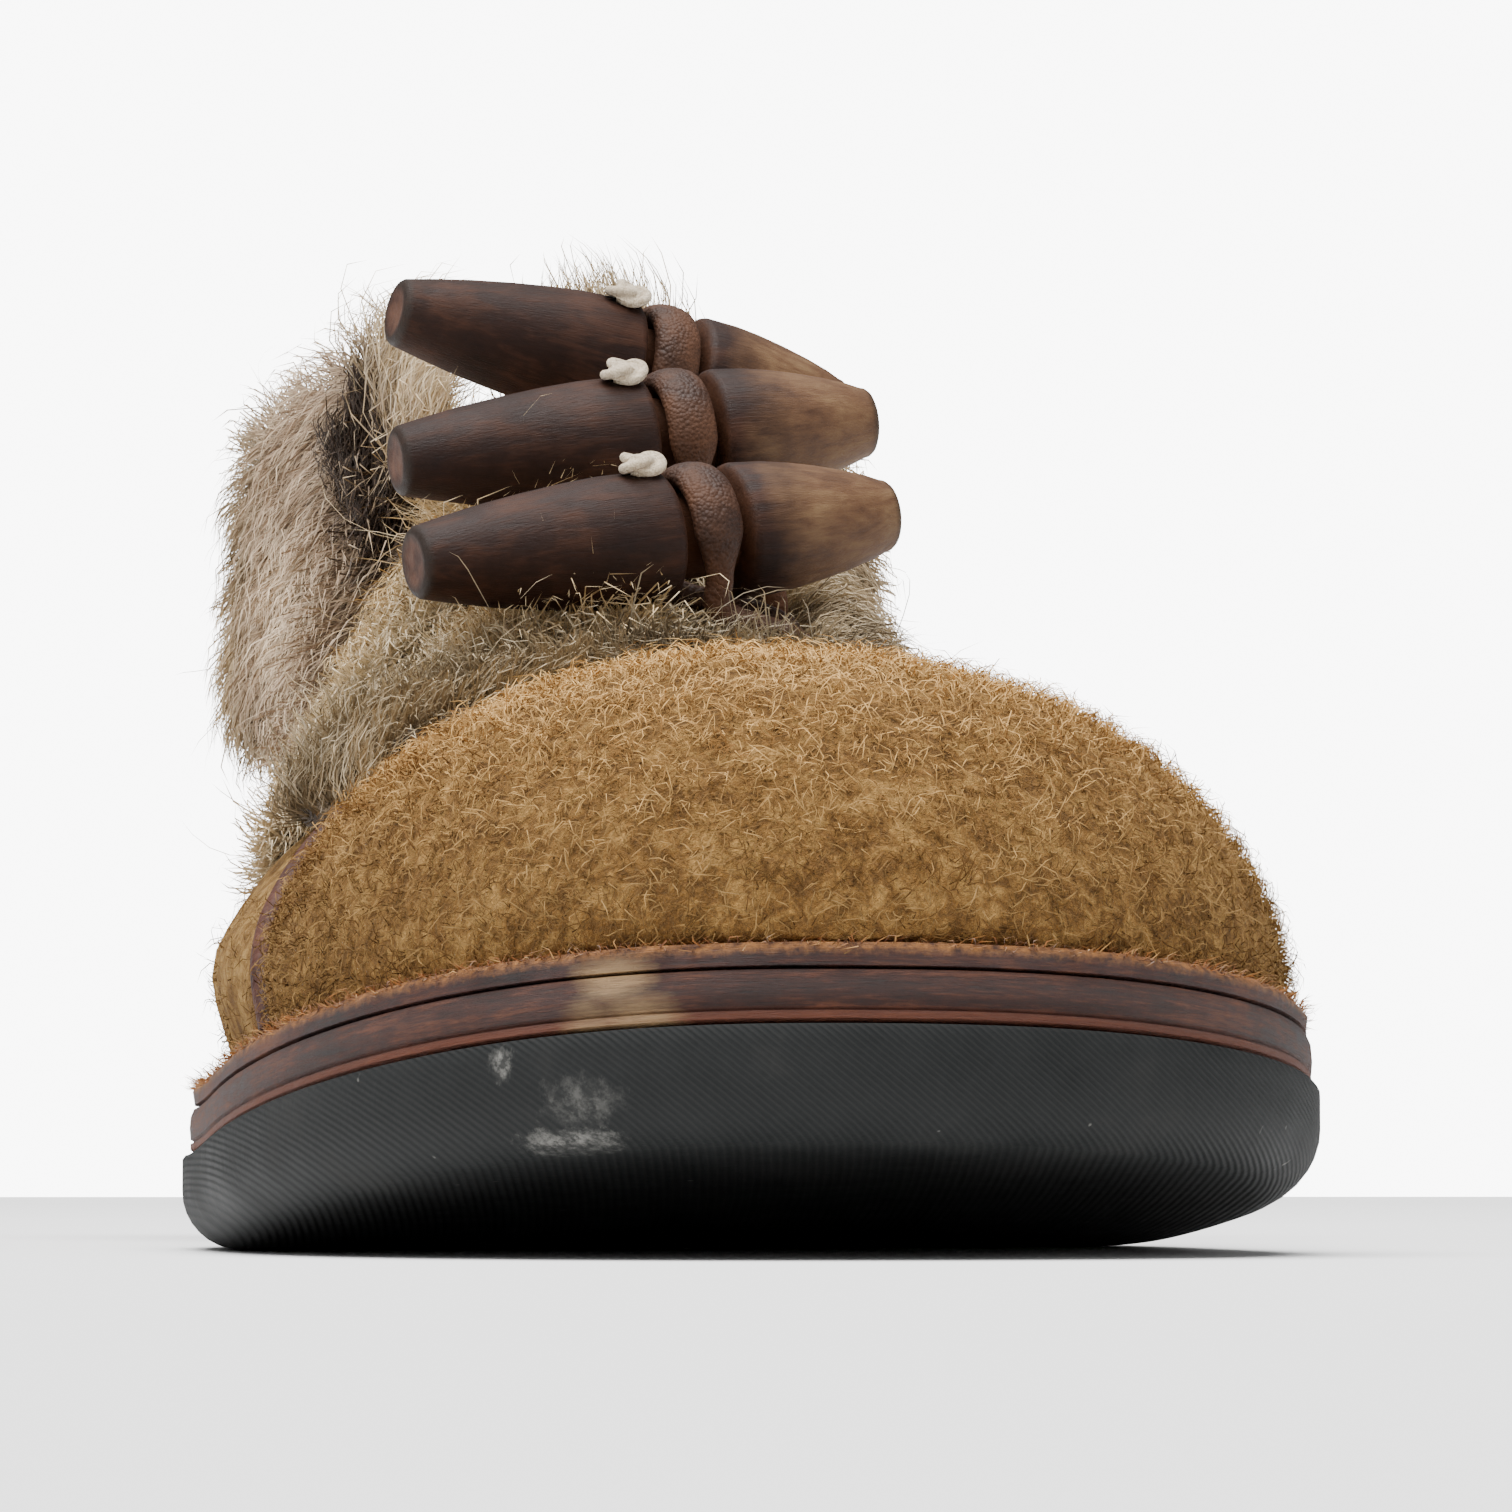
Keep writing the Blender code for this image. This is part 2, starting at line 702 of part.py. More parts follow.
def toggle_frame(number):
    """Matrix whose X runs along a toggle to its outer end and whose Z leaves the foot."""
    station, girth, _, yaw, roll = TOGGLES[number]
    up = last_normal(station, 0.0)
    up.x = 0.0
    up.normalize()
    axis = Matrix.Rotation(math.radians(yaw), 3, up) @ Vector((1.0, 0.0, 0.0))
    axis = Matrix.Rotation(math.radians(roll), 3, up.cross(axis)) @ axis
    side = up.cross(axis).normalized()
    frame = Matrix((axis, side, axis.cross(side))).transposed().to_4x4()
    frame.translation = on_last(station, girth, toggle_lift(number))
    return frame


def turned(name, profile, frame, steps, finish_material):
    """Solid turned about the X axis of a frame from rows of place and radius."""
    mesh = bmesh.new()
    verts = [mesh.verts.new((x, 0.0, r)) for x, r in profile]
    edges = [mesh.edges.new(pair) for pair in zip(verts, verts[1:])]
    bmesh.ops.spin(
        mesh,
        geom=verts + edges,
        axis=(1.0, 0.0, 0.0),
        cent=(0.0, 0.0, 0.0),
        angle=2 * math.pi,
        steps=steps,
        use_merge=True,
    )
    bmesh.ops.transform(mesh, matrix=frame, verts=mesh.verts)
    return finish(name, mesh, finish_material, 45.0)


def tie_frame(number):
    """Frame of a tie, whose X runs up through its toggle."""
    upright = Matrix.Rotation(-math.pi / 2, 4, "Y")
    return toggle_frame(number) @ Matrix.Translation((-TIE_PLACE, 0.0, 0.0)) @ upright


def toggle(number):
    """Turned double cone with a waist for its loop and a hole for its tie."""
    waist = WAIST_LENGTH / 2
    profile = []
    for way, length in ((-1, TOGGLE_INNER_LENGTH), (1, TOGGLE_OUTER_LENGTH)):
        side = (
            (waist, WAIST_RADIUS),
            (waist + TOGGLE_BEVEL / 2, TOGGLE_RADIUS - TOGGLE_BEVEL),
            (waist + TOGGLE_BEVEL * 1.5, TOGGLE_RADIUS),
            (mix(waist, length, 0.40), mix(TOGGLE_RADIUS, TOGGLE_END_RADIUS, 0.16)),
            (mix(waist, length, 0.72), mix(TOGGLE_RADIUS, TOGGLE_END_RADIUS, 0.56)),
            (length - TOGGLE_BEVEL, TOGGLE_END_RADIUS),
            (length, TOGGLE_END_RADIUS - TOGGLE_BEVEL),
            (length, 0.0),
        )
        rows = [(way * x, r) for x, r in side]
        profile += rows[::-1] if way < 0 else rows
    made = turned(f"toggle_{number + 1}", profile, toggle_frame(number), 12, WOOD)
    reach = 2 * TOGGLE_RADIUS
    bore = ((-reach, 0.0), (-reach, TIE_RADIUS + GAP), (reach, TIE_RADIUS + GAP), (reach, 0.0))
    cutter = turned(f"bore_{number + 1}", bore, tie_frame(number), 8, WOOD)
    cutter.hide_render = True
    cut = made.modifiers.new("tie_hole", "BOOLEAN")
    cut.operation = "DIFFERENCE"
    cut.solver = "EXACT"
    cut.object = cutter


def tie(number):
    """Pale cord through the toggle, knotted on top and sewn to the strap below."""
    roll = math.radians(max(0.0, TOGGLES[number][4]))
    height = toggle_lift(number) + TIE_PLACE * math.sin(roll)
    low = (STRAP_TOP + GAP - height) / math.cos(roll)
    foot = low + KNOT_HEIGHT / 2
    top = TOGGLE_RADIUS + GAP
    profile = (
        (low, 0.0),
        (low, KNOT_RADIUS * 0.8),
        (foot - GAP, KNOT_RADIUS * 0.9),
        (foot, TIE_RADIUS),
        (top, TIE_RADIUS),
        (top + KNOT_HEIGHT * 0.12, KNOT_RADIUS * 0.85),
        (top + KNOT_HEIGHT * 0.50, KNOT_RADIUS),
        (top + KNOT_HEIGHT * 0.85, KNOT_RADIUS * 0.65),
        (top + KNOT_HEIGHT, 0.0),
    )
    turned(f"tie_{number + 1}", profile, tie_frame(number), 8, CORD)


def loop_route(number):
    """Route of a loop: out of the fur, over the toggle's waist and back."""
    frame = toggle_frame(number)
    station, girth = TOGGLES[number][:2]
    reach = WAIST_RADIUS + GAP + LOOP_RADIUS
    on_wall = UPPER_WALL + GAP + LOOP_RADIUS
    on_strap = STRAP_TOP + GAP + LOOP_RADIUS
    legs = {}
    for side in (-1, 1):
        across = station + side * reach / SHOE_LENGTH
        points = [on_last(across, LOOP_END, mix(on_wall, on_strap, t)) for t in (0.0, 0.5)]
        points.append(on_last(across, mix(girth, LOOP_END, 0.75), on_strap))
        points.append(frame @ Vector((LOOP_RADIUS / 4, side * reach, -TOGGLE_RADIUS)))
        points.append(frame @ Vector((0.0, side * reach, -reach * 0.55)))
        legs[side] = points
    over = []
    for degrees in (-82, -55, -28, 0, 28, 55, 82):
        turn = math.radians(degrees)
        over.append(frame @ Vector((0.0, reach * math.sin(turn), reach * math.cos(turn))))
    return smooth_path(legs[-1] + over + legs[1][::-1], 30)


def leather_loop(number):
    """Thong that is flat and wide over the waist of its toggle."""

    def half_width(share):
        waist = ease((0.25 - abs(share - 0.5)) / 0.08)
        return mix(LOOP_RADIUS, LOOP_WIDTH / 2, waist)

    wide_way = toggle_frame(number).col[0].to_3d()
    name = f"loop_{number + 1}"
    return sweep(name, loop_route(number), half_width, LOOP_RADIUS, THONG, wide_way)


for old in list(bpy.data.objects):
    bpy.data.objects.remove(old, do_unlink=True)

RUBBER = material("black_rubber", (0.020, 0.021, 0.022), 0.62)
LEATHER = material("brown_leather", (0.120, 0.045, 0.022), 0.50)
SUEDE = material("raw_suede", (0.190, 0.090, 0.035), 0.95)
FELT = material("camel_felt", (0.560, 0.370, 0.160), 0.95)
QUARTER_FELT = material("tan_felt", (0.470, 0.290, 0.120), 0.95)
FUR = material("natural_fur", (0.330, 0.240, 0.150), 0.80)
LINING = material("dark_lining", (0.140, 0.090, 0.060), 0.85)
SOCK = material("insole_leather", (0.420, 0.270, 0.150), 0.60)
PIPING = material("dark_leather", (0.075, 0.030, 0.018), 0.45)
WOOD = material("stained_wood", (0.095, 0.045, 0.028), 0.38)
CORD = material("cream_cord", (0.700, 0.600, 0.440), 0.80)
THONG = material("tan_thong", (0.200, 0.100, 0.050), 0.60)

outsole()
midsole()
welt()
heel_block("heel_cap", 0.0, HEEL_CAP_THICKNESS, RUBBER)
heel_block("heel_stack", HEEL_CAP_THICKNESS + GAP, HEEL_HEIGHT, LEATHER)
insole()
upper()
toe_cap()
piping("piping_medial", -1)
piping("piping_lateral", 1)
fur_vamp()
fur_lateral()
fur_collar()
tongue()
for index in range(len(TOGGLES)):
    strap(index)
    toggle(index)
    tie(index)
    leather_loop(index)
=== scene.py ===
"""Left shoe of camel felt and natural fur, closed by three wooden toggles."""

import math

import bmesh
import bpy
import numpy as np
from mathutils import Matrix, Vector


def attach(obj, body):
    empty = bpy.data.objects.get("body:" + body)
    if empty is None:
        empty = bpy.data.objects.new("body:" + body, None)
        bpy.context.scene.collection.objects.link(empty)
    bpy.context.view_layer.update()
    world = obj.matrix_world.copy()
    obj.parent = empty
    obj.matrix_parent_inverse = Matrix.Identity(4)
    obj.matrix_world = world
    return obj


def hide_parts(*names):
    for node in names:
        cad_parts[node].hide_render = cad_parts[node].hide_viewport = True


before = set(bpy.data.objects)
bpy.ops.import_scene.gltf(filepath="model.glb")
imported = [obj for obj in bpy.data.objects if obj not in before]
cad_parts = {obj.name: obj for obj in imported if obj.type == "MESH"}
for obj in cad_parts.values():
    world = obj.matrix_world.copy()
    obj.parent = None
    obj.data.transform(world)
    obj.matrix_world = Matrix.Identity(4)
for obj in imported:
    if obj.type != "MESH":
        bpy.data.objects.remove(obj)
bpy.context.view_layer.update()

# Sizes of the shoe, in metres
SHOE_LENGTH = 0.300
BALL_WIDTH = 0.1045
GAP = 0.0003
TOE_SPRING = 0.0105
HEEL_HEIGHT = 0.0175
OUTSOLE_THICKNESS = 0.0093
OUTSOLE_WALL = 0.0035
HEEL_EDGE_ROUND = 0.0012
MIDSOLE_THICKNESS = 0.0047
MIDSOLE_INSET = 0.0008
WELT_THICKNESS = 0.0020
WELT_INSET = 0.0012
HEEL_CAP_THICKNESS = 0.0070
HEEL_INSET = 0.0010
INSOLE_THICKNESS = 0.0030
UPPER_WALL = 0.0022
CAP_THICKNESS = 0.0027
CAP_LEDGE = 0.0028
QUARTER_LEDGE = 0.0044
INSTEP_HEIGHT = 0.066
COLLAR_HEIGHT = 0.066
PIPING_RADIUS = 0.0013
FUR_THICKNESS = 0.0060
COLLAR_FUR_THICKNESS = 0.0048
TONGUE_THICKNESS = 0.0025
STRAP_WIDTH = 0.0235
TOGGLE_INNER_LENGTH = 0.0310
TOGGLE_OUTER_LENGTH = 0.0222
TOGGLE_RADIUS = 0.0070
TOGGLE_END_RADIUS = 0.0038
TOGGLE_BEVEL = 0.0010
WAIST_RADIUS = 0.0044
WAIST_LENGTH = 0.0062
LOOP_RADIUS = 0.0014
LOOP_WIDTH = 0.0054
TIE_RADIUS = 0.0012
TIE_PLACE = 0.0058
KNOT_RADIUS = 0.0027
KNOT_HEIGHT = 0.0016

# Shape of the last: station 0 is the toe tip and 1 the back of the heel
# Rows of station and the outline's inner and outer reach, in ball widths
OUTLINE = (
    (0.00, 0.492, 0.478),
    (0.15, 0.496, 0.486),
    (0.32, 0.500, 0.497),
    (0.39, 0.491, 0.500),
    (0.50, 0.430, 0.472),
    (0.60, 0.360, 0.428),
    (0.70, 0.325, 0.388),
    (0.80, 0.325, 0.362),
    (0.90, 0.334, 0.350),
    (1.00, 0.334, 0.350),
)
# Rows of station, ridge height in instep heights, ridge lean, fullness of shoulder and crown
SECTIONS = (
    (0.00, 0.470, 0.49, 0.62, 0.62),
    (0.15, 0.480, 0.48, 0.62, 0.60),
    (0.27, 0.500, 0.46, 0.60, 0.56),
    (0.34, 0.545, 0.45, 0.56, 0.50),
    (0.42, 0.635, 0.43, 0.50, 0.44),
    (0.52, 0.850, 0.42, 0.46, 0.42),
    (0.61, 0.945, 0.43, 0.50, 0.42),
    (0.67, 1.050, 0.45, 0.56, 0.46),
    (0.74, 1.340, 0.48, 0.64, 0.62),
    (0.82, 1.750, 0.50, 0.70, 0.82),
    (0.91, 1.950, 0.50, 0.72, 0.88),
    (1.00, 1.950, 0.50, 0.72, 0.88),
)
# Rows of station and the throat's inner and outer half width, in ball widths
THROAT = (
    (0.00, 0.000, 0.000),
    (0.385, 0.000, 0.000),
    (0.43, 0.075, 0.075),
    (0.50, 0.105, 0.110),
    (0.60, 0.120, 0.150),
    (0.67, 0.125, 0.200),
    (0.74, 0.160, 0.210),
    (0.84, 0.000, 0.000),
    (1.00, 0.000, 0.000),
)
# Rows of station and the collar's inner and outer height, in collar heights
COLLAR = (
    (0.00, 1.40, 1.40),
    (0.60, 1.30, 1.25),
    (0.67, 1.22, 1.03),
    (0.73, 1.12, 0.97),
    (0.80, 1.03, 0.96),
    (0.90, 1.02, 1.02),
    (1.00, 1.07, 1.07),
)
TOE_ROUND, TOE_POWER = 0.267, 2.4
HEEL_ROUND, HEEL_POWER = 0.130, 2.2
TIP_LEAN, HEEL_LEAN = -0.035, 0.010
TOP_ROUND, TOP_POWER = 0.235, 2.2
FLEX_INNER, FLEX_OUTER = 0.335, 0.450
SPRING_CURVE = 1.5
ARCH_START, ARCH_END = 0.550, 0.760
HEEL_BREAST = 0.745
BACK_START = 0.78
BACK_SWELL = 0.0008
BACK_LEAN = 0.0080
INNER_SWELL = 0.0056
SWELL_LEAD, SWELL_RISE, SWELL_FADE, SWELL_END = 0.030, 0.115, 0.345, 0.430
SEAT_FADE = 0.012

# Places of the pieces on the last: girth is 0 on the ridge, -1 and 1 at the feather edges
CAP_END_TOP, CAP_END_SIDE = 0.293, 0.185
VAMP_END = 0.372
VAMP_LOW, VAMP_LOW_INNER = 0.63, 0.52
STRAP_STATIONS = (0.417, 0.512, 0.604)
STRAP_LOW = (-0.64, -0.63, -0.62)
STRAP_TIP = 0.18
LOOP_END = 0.225
STRAP_SLANT = 0.030
FUR_START, FUR_END = 0.385, 0.655
FUR_INNER_EDGE, FUR_LOW = 0.27, 0.70
COLLAR_FUR_START = 0.665
COLLAR_FUR_DEPTH = 0.62
TONGUE_START, TONGUE_END = 0.375, 0.690
TONGUE_WIDTH = 0.46
# Rows of station, girth, lift in toggle radii, yaw and roll in degrees
TOGGLES = (
    (0.407, 0.058, 0.2, 17.0, -3.0),
    (0.504, 0.058, 0.3, 12.0, -2.0),
    (0.597, 0.045, 0.6, 8.0, 14.5),
)
# Rows of station, slant, width and depth of the walking creases
CREASES = (
    (0.335, 0.030, 0.010, 0.0006),
    (0.365, 0.045, 0.008, 0.0004),
    (0.470, -0.060, 0.014, 0.0005),
    (0.700, 0.050, 0.016, 0.0006),
)

SEAT_RISE = OUTSOLE_THICKNESS + MIDSOLE_THICKNESS + GAP
CAP_LIFT = UPPER_WALL + GAP
FUR_LIFT = UPPER_WALL + 1.5 * GAP
STRAP_TOP = FUR_LIFT + FUR_THICKNESS

# Colours of hair and felt
SOOT = (0.016, 0.011, 0.008)
SLATE = (0.250, 0.200, 0.135)
UMBER = (0.100, 0.050, 0.022)
FAWN = (0.480, 0.325, 0.155)
GOLD = (0.640, 0.405, 0.140)
CREAM = (0.900, 0.760, 0.530)
BLUSH = (0.760, 0.540, 0.400)
CAMEL = (0.385, 0.192, 0.052)
OLIVE = (0.185, 0.080, 0.021)
SAND = (0.700, 0.435, 0.165)
RUST = (0.200, 0.070, 0.020)
AMBER = (0.300, 0.105, 0.022)

# Width, gathering in locks and steps of the few long hairs
LONG_HAIR = (0.00011, 0.0, 7)
FIBRE_WIDTH = 0.00012
TUFT_LOCK = 0.0030
# Mixes the three counts of a small cube of space into one number
CELL_KEYS = (73856093, 19349663, 83492791)


def row_values(rows, station):
    """Reads a table between its rows, with no overshoot past a row's value."""
    last = len(rows) - 1
    below = max(i for i in range(last) if rows[i][0] <= station or i == 0)
    start, end = rows[below], rows[below + 1]
    span = end[0] - start[0]
    share = min(1.0, max(0.0, (station - start[0]) / span))
    values = []
    for column in range(1, len(start)):
        slopes = []
        for i in (below, below + 1):
            if i in (0, last):
                slopes.append(0.0)
                continue
            before = (rows[i][column] - rows[i - 1][column]) / (rows[i][0] - rows[i - 1][0])
            after = (rows[i + 1][column] - rows[i][column]) / (rows[i + 1][0] - rows[i][0])
            turning = before * after <= 0
            slopes.append(0.0 if turning else 2 * before * after / (before + after))
        s2, s3 = share * share, share**3
        values.append(
            (2 * s3 - 3 * s2 + 1) * start[column]
            + (s3 - 2 * s2 + share) * span * slopes[0]
            + (3 * s2 - 2 * s3) * end[column]
            + (s3 - s2) * span * slopes[1]
        )
    return values


def mix(start, end, share):
    """Value a share of the way from start to end."""
    return start + (end - start) * share


def ease(share):
    """Share from 0 to 1 with a soft start and end."""
    share = np.clip(share, 0.0, 1.0)
    return share * share * (3 - 2 * share)


def rounded_end(distance, reach, power):
    """Share of the full width at a distance from a rounded end."""
    if distance >= reach:
        return 1.0
    return max(0.0, 1 - (1 - distance / reach) ** power) ** (1 / power)


def arc_spaced(steps, reach, power):
    """Distances from a rounded end, closer together where it turns."""
    quarter = math.pi / 2
    turns = [max(0.0, math.cos(quarter * i / steps)) for i in range(steps + 1)]
    return [reach * (1 - turn ** (2 / power)) for turn in turns]


def all_stations(toe_steps=26, middle_steps=60, heel_steps=18):
    toe = arc_spaced(toe_steps, TOE_ROUND, TOE_POWER)
    heel = [1 - d for d in arc_spaced(heel_steps, HEEL_ROUND, HEEL_POWER)[::-1]]
    middle = [mix(toe[-1], heel[0], i / middle_steps) for i in range(1, middle_steps)]
    return toe + middle + heel


def edge_point(station, side):
    """Point of the outsole's outline, inner side -1 or outer side +1."""
    inner, outer = row_values(OUTLINE, station)
    middle = mix(TIP_LEAN, HEEL_LEAN, station) * BALL_WIDTH
    full = side * (outer if side > 0 else inner) * BALL_WIDTH
    width = rounded_end(station, TOE_ROUND, TOE_POWER)
    width *= rounded_end(1 - station, HEEL_ROUND, HEEL_POWER)
    return Vector((middle + (full - middle) * width, (station - 0.5) * SHOE_LENGTH))


def outline(station, side, inset):
    """Point an inset inside the outsole's outline."""
    if station <= 1e-6:
        normal = Vector((0.0, -1.0))
    elif station >= 1 - 1e-6:
        normal = Vector((0.0, 1.0))
    else:
        step = min(0.002, station / 2, (1 - station) / 2)
        along = edge_point(station + step, side) - edge_point(station - step, side)
        normal = Vector((side * along.y, -side * along.x)).normalized()
    return edge_point(station, side) - normal * inset


def underside(x, y):
    """Height of the outsole's underside: toe spring, flat tread, arch and heel seat."""
    station = y / SHOE_LENGTH + 0.5
    flex = mix(FLEX_INNER, FLEX_OUTER, 0.5 + x / BALL_WIDTH)
    toe = TOE_SPRING * np.maximum(0.0, 1 - station / flex) ** SPRING_CURVE
    heel = HEEL_HEIGHT * ease((station - ARCH_START) / (ARCH_END - ARCH_START))
    return toe + heel


def feather_inset(station):
    """How far the last's feather edge lies inside the outsole's outline."""
    toe = CAP_LEDGE + CAP_THICKNESS + GAP + UPPER_WALL
    heel = QUARTER_LEDGE + UPPER_WALL
    return mix(toe, heel, float(ease((station - CAP_END_SIDE) / (FLEX_OUTER - CAP_END_SIDE))))


def cap_end(girth):
    """Station where the toe cap ends."""
    return mix(CAP_END_TOP, CAP_END_SIDE, girth * girth)


def lay_out_last(stations, girths):
    """Points, outward normals, feather points and ridge places of the last on a fine net."""
    points, feet, ridges = [], [], []
    for station in stations:
        inset = feather_inset(station)
        pair = []
        for side in (-1, 1):
            place = outline(station, side, inset)
            pair.append(np.array((*place, underside(*place) + SEAT_RISE)))
        height, lean, low, high = row_values(SECTIONS, station)
        ridge = mix(pair[0], pair[1], lean)
        ridge[2] += height * INSTEP_HEIGHT * rounded_end(station, TOP_ROUND, TOP_POWER)
        back = ease((station - BACK_START) / (1 - BACK_START))
        row = []
        for girth in girths:
            foot = pair[1 if girth >= 0 else 0]
            shoulder = np.array((foot[0], foot[1], mix(foot[2], ridge[2], low)))
            crown = mix(ridge, foot, high)
            crown[2] = ridge[2]
            share, rest = 1 - abs(girth), abs(girth)
            point = foot * rest**3 + shoulder * 3 * rest**2 * share
            point = point + crown * 3 * rest * share**2 + ridge * share**3
            rise = (point[2] - foot[2]) / COLLAR_HEIGHT
            swell = BACK_SWELL * math.sin(math.pi * min(1.0, rise))
            point[1] += back * (swell - BACK_LEAN * rise**2)
            if girth < 0:
                reach = ease((station - cap_end(girth) + SWELL_LEAD) / SWELL_RISE)
                reach *= ease((SWELL_END - station) / (SWELL_END - SWELL_FADE))
                point[0] -= INNER_SWELL * reach * ease((share - 0.04) / 0.22) * ease(rest / 0.6)
            row.append(point)
        points.append(row)
        feet.append(pair)
        ridges.append(ridge)
    points = np.array(points)
    along = np.gradient(points, axis=0)
    around = np.gradient(points, axis=1)
    normals = np.cross(around, along)
    normals[0] = (0.0, -1.0, 0.0)
    tangent = around[-1] * np.sign(-girths)[:, None]
    normals[-1] = np.stack((0 * tangent[:, 0], np.abs(tangent[:, 2]), -tangent[:, 1]), axis=1)
    normals[-1] += (0.0, 1e-9, 0.0)
    normals /= np.linalg.norm(normals, axis=2, keepdims=True) + 1e-12
    return points, normals, np.array(feet), np.array(ridges)


NET_STATIONS = np.array(all_stations(40, 110, 24))
NET_GIRTHS = np.linspace(-1.0, 1.0, 161)
LAST, NORMALS, FEET, RIDGES = lay_out_last(NET_STATIONS, NET_GIRTHS)


def net_row(station):
    """Row of the net before a station, and the share of the way on to the next row."""
    row = np.interp(station, NET_STATIONS, np.arange(len(NET_STATIONS)))
    i = np.clip(row.astype(int), 0, len(NET_STATIONS) - 2)
    return i, (row - i)[..., None]


def read_net(net, station, girth):
    """Value of a net at stations and girths between its knots."""
    i, p = net_row(station)
    column = (np.clip(girth, -1.0, 1.0) + 1) / 2 * (len(NET_GIRTHS) - 1)
    j = np.clip(column.astype(int), 0, len(NET_GIRTHS) - 2)
    q = (column - j)[..., None]
    low = net[i, j] * (1 - q) + net[i, j + 1] * q
    high = net[i + 1, j] * (1 - q) + net[i + 1, j + 1] * q
    return low * (1 - p) + high * p


def on_last(station, girth, lift, seat=0.0):
    """Points above the last; near the feather edge they keep their height over the sole."""
    given = (np.asarray(value, float) for value in (station, girth, lift))
    station, girth, lift = np.broadcast_arrays(*given)
    normal = read_net(NORMALS, station, girth)
    normal = normal / np.linalg.norm(normal, axis=-1, keepdims=True)
    point = read_net(LAST, station, girth) + normal * lift[..., None]
    i, p = net_row(station)
    side = (girth >= 0).astype(int)
    foot = FEET[i, side] * (1 - p) + FEET[i + 1, side] * p
    near = np.clip(1 - np.maximum(0.0, point[..., 2] - foot[..., 2]) / SEAT_FADE, 0.0, 1.0)
    over = underside(point[..., 0], point[..., 1]) - underside(foot[..., 0], foot[..., 1])
    point[..., 2] += near * (over + seat)
    return point


def spot(station, girth, lift):
    """One point above the last."""
    return Vector(on_last(station, girth, lift))


def upper_edge(stations, side):
    """Share of the way from feather edge to ridge where the upper ends at throat or collar."""
    column = 1 if side > 0 else 0
    ridge = np.array([np.interp(stations, NET_STATIONS, RIDGES[:, 0])])[0]
    foot = np.interp(stations, NET_STATIONS, FEET[:, column, 2])
    throat = np.array([row_values(THROAT, s)[column] for s in stations]) * BALL_WIDTH
    collar = foot + np.array([row_values(COLLAR, s)[column] for s in stations]) * COLLAR_HEIGHT
    low, high = np.zeros(len(stations)), np.ones(len(stations))
    for _ in range(30):
        middle = (low + high) / 2
        point = read_net(LAST, stations, side * (1 - middle))
        past = (np.abs(point[:, 0] - ridge) < throat) | (point[:, 2] > collar)
        high = np.where(past, middle, high)
        low = np.where(past, low, middle)
    return np.where(high > 1 - 1e-4, 1.0, high)


def patches(points, size, seed=0.0):
    """Soft blotches from 0 to 1 over points, about a size across."""
    x, y, z = (points[..., i] / size + seed * (1.7 + i) for i in range(3))
    value = np.sin(x + 1.3 * np.sin(0.8 * y + seed)) + np.sin(1.1 * y + 1.2 * np.sin(0.9 * z))
    value = value + np.sin(1.2 * z + 1.1 * np.sin(1.1 * x + 2 * seed))
    return 0.5 + value / 6


def unit(ways):
    """Directions brought to length 1."""
    return ways / (np.linalg.norm(ways, axis=-1, keepdims=True) + 1e-12)


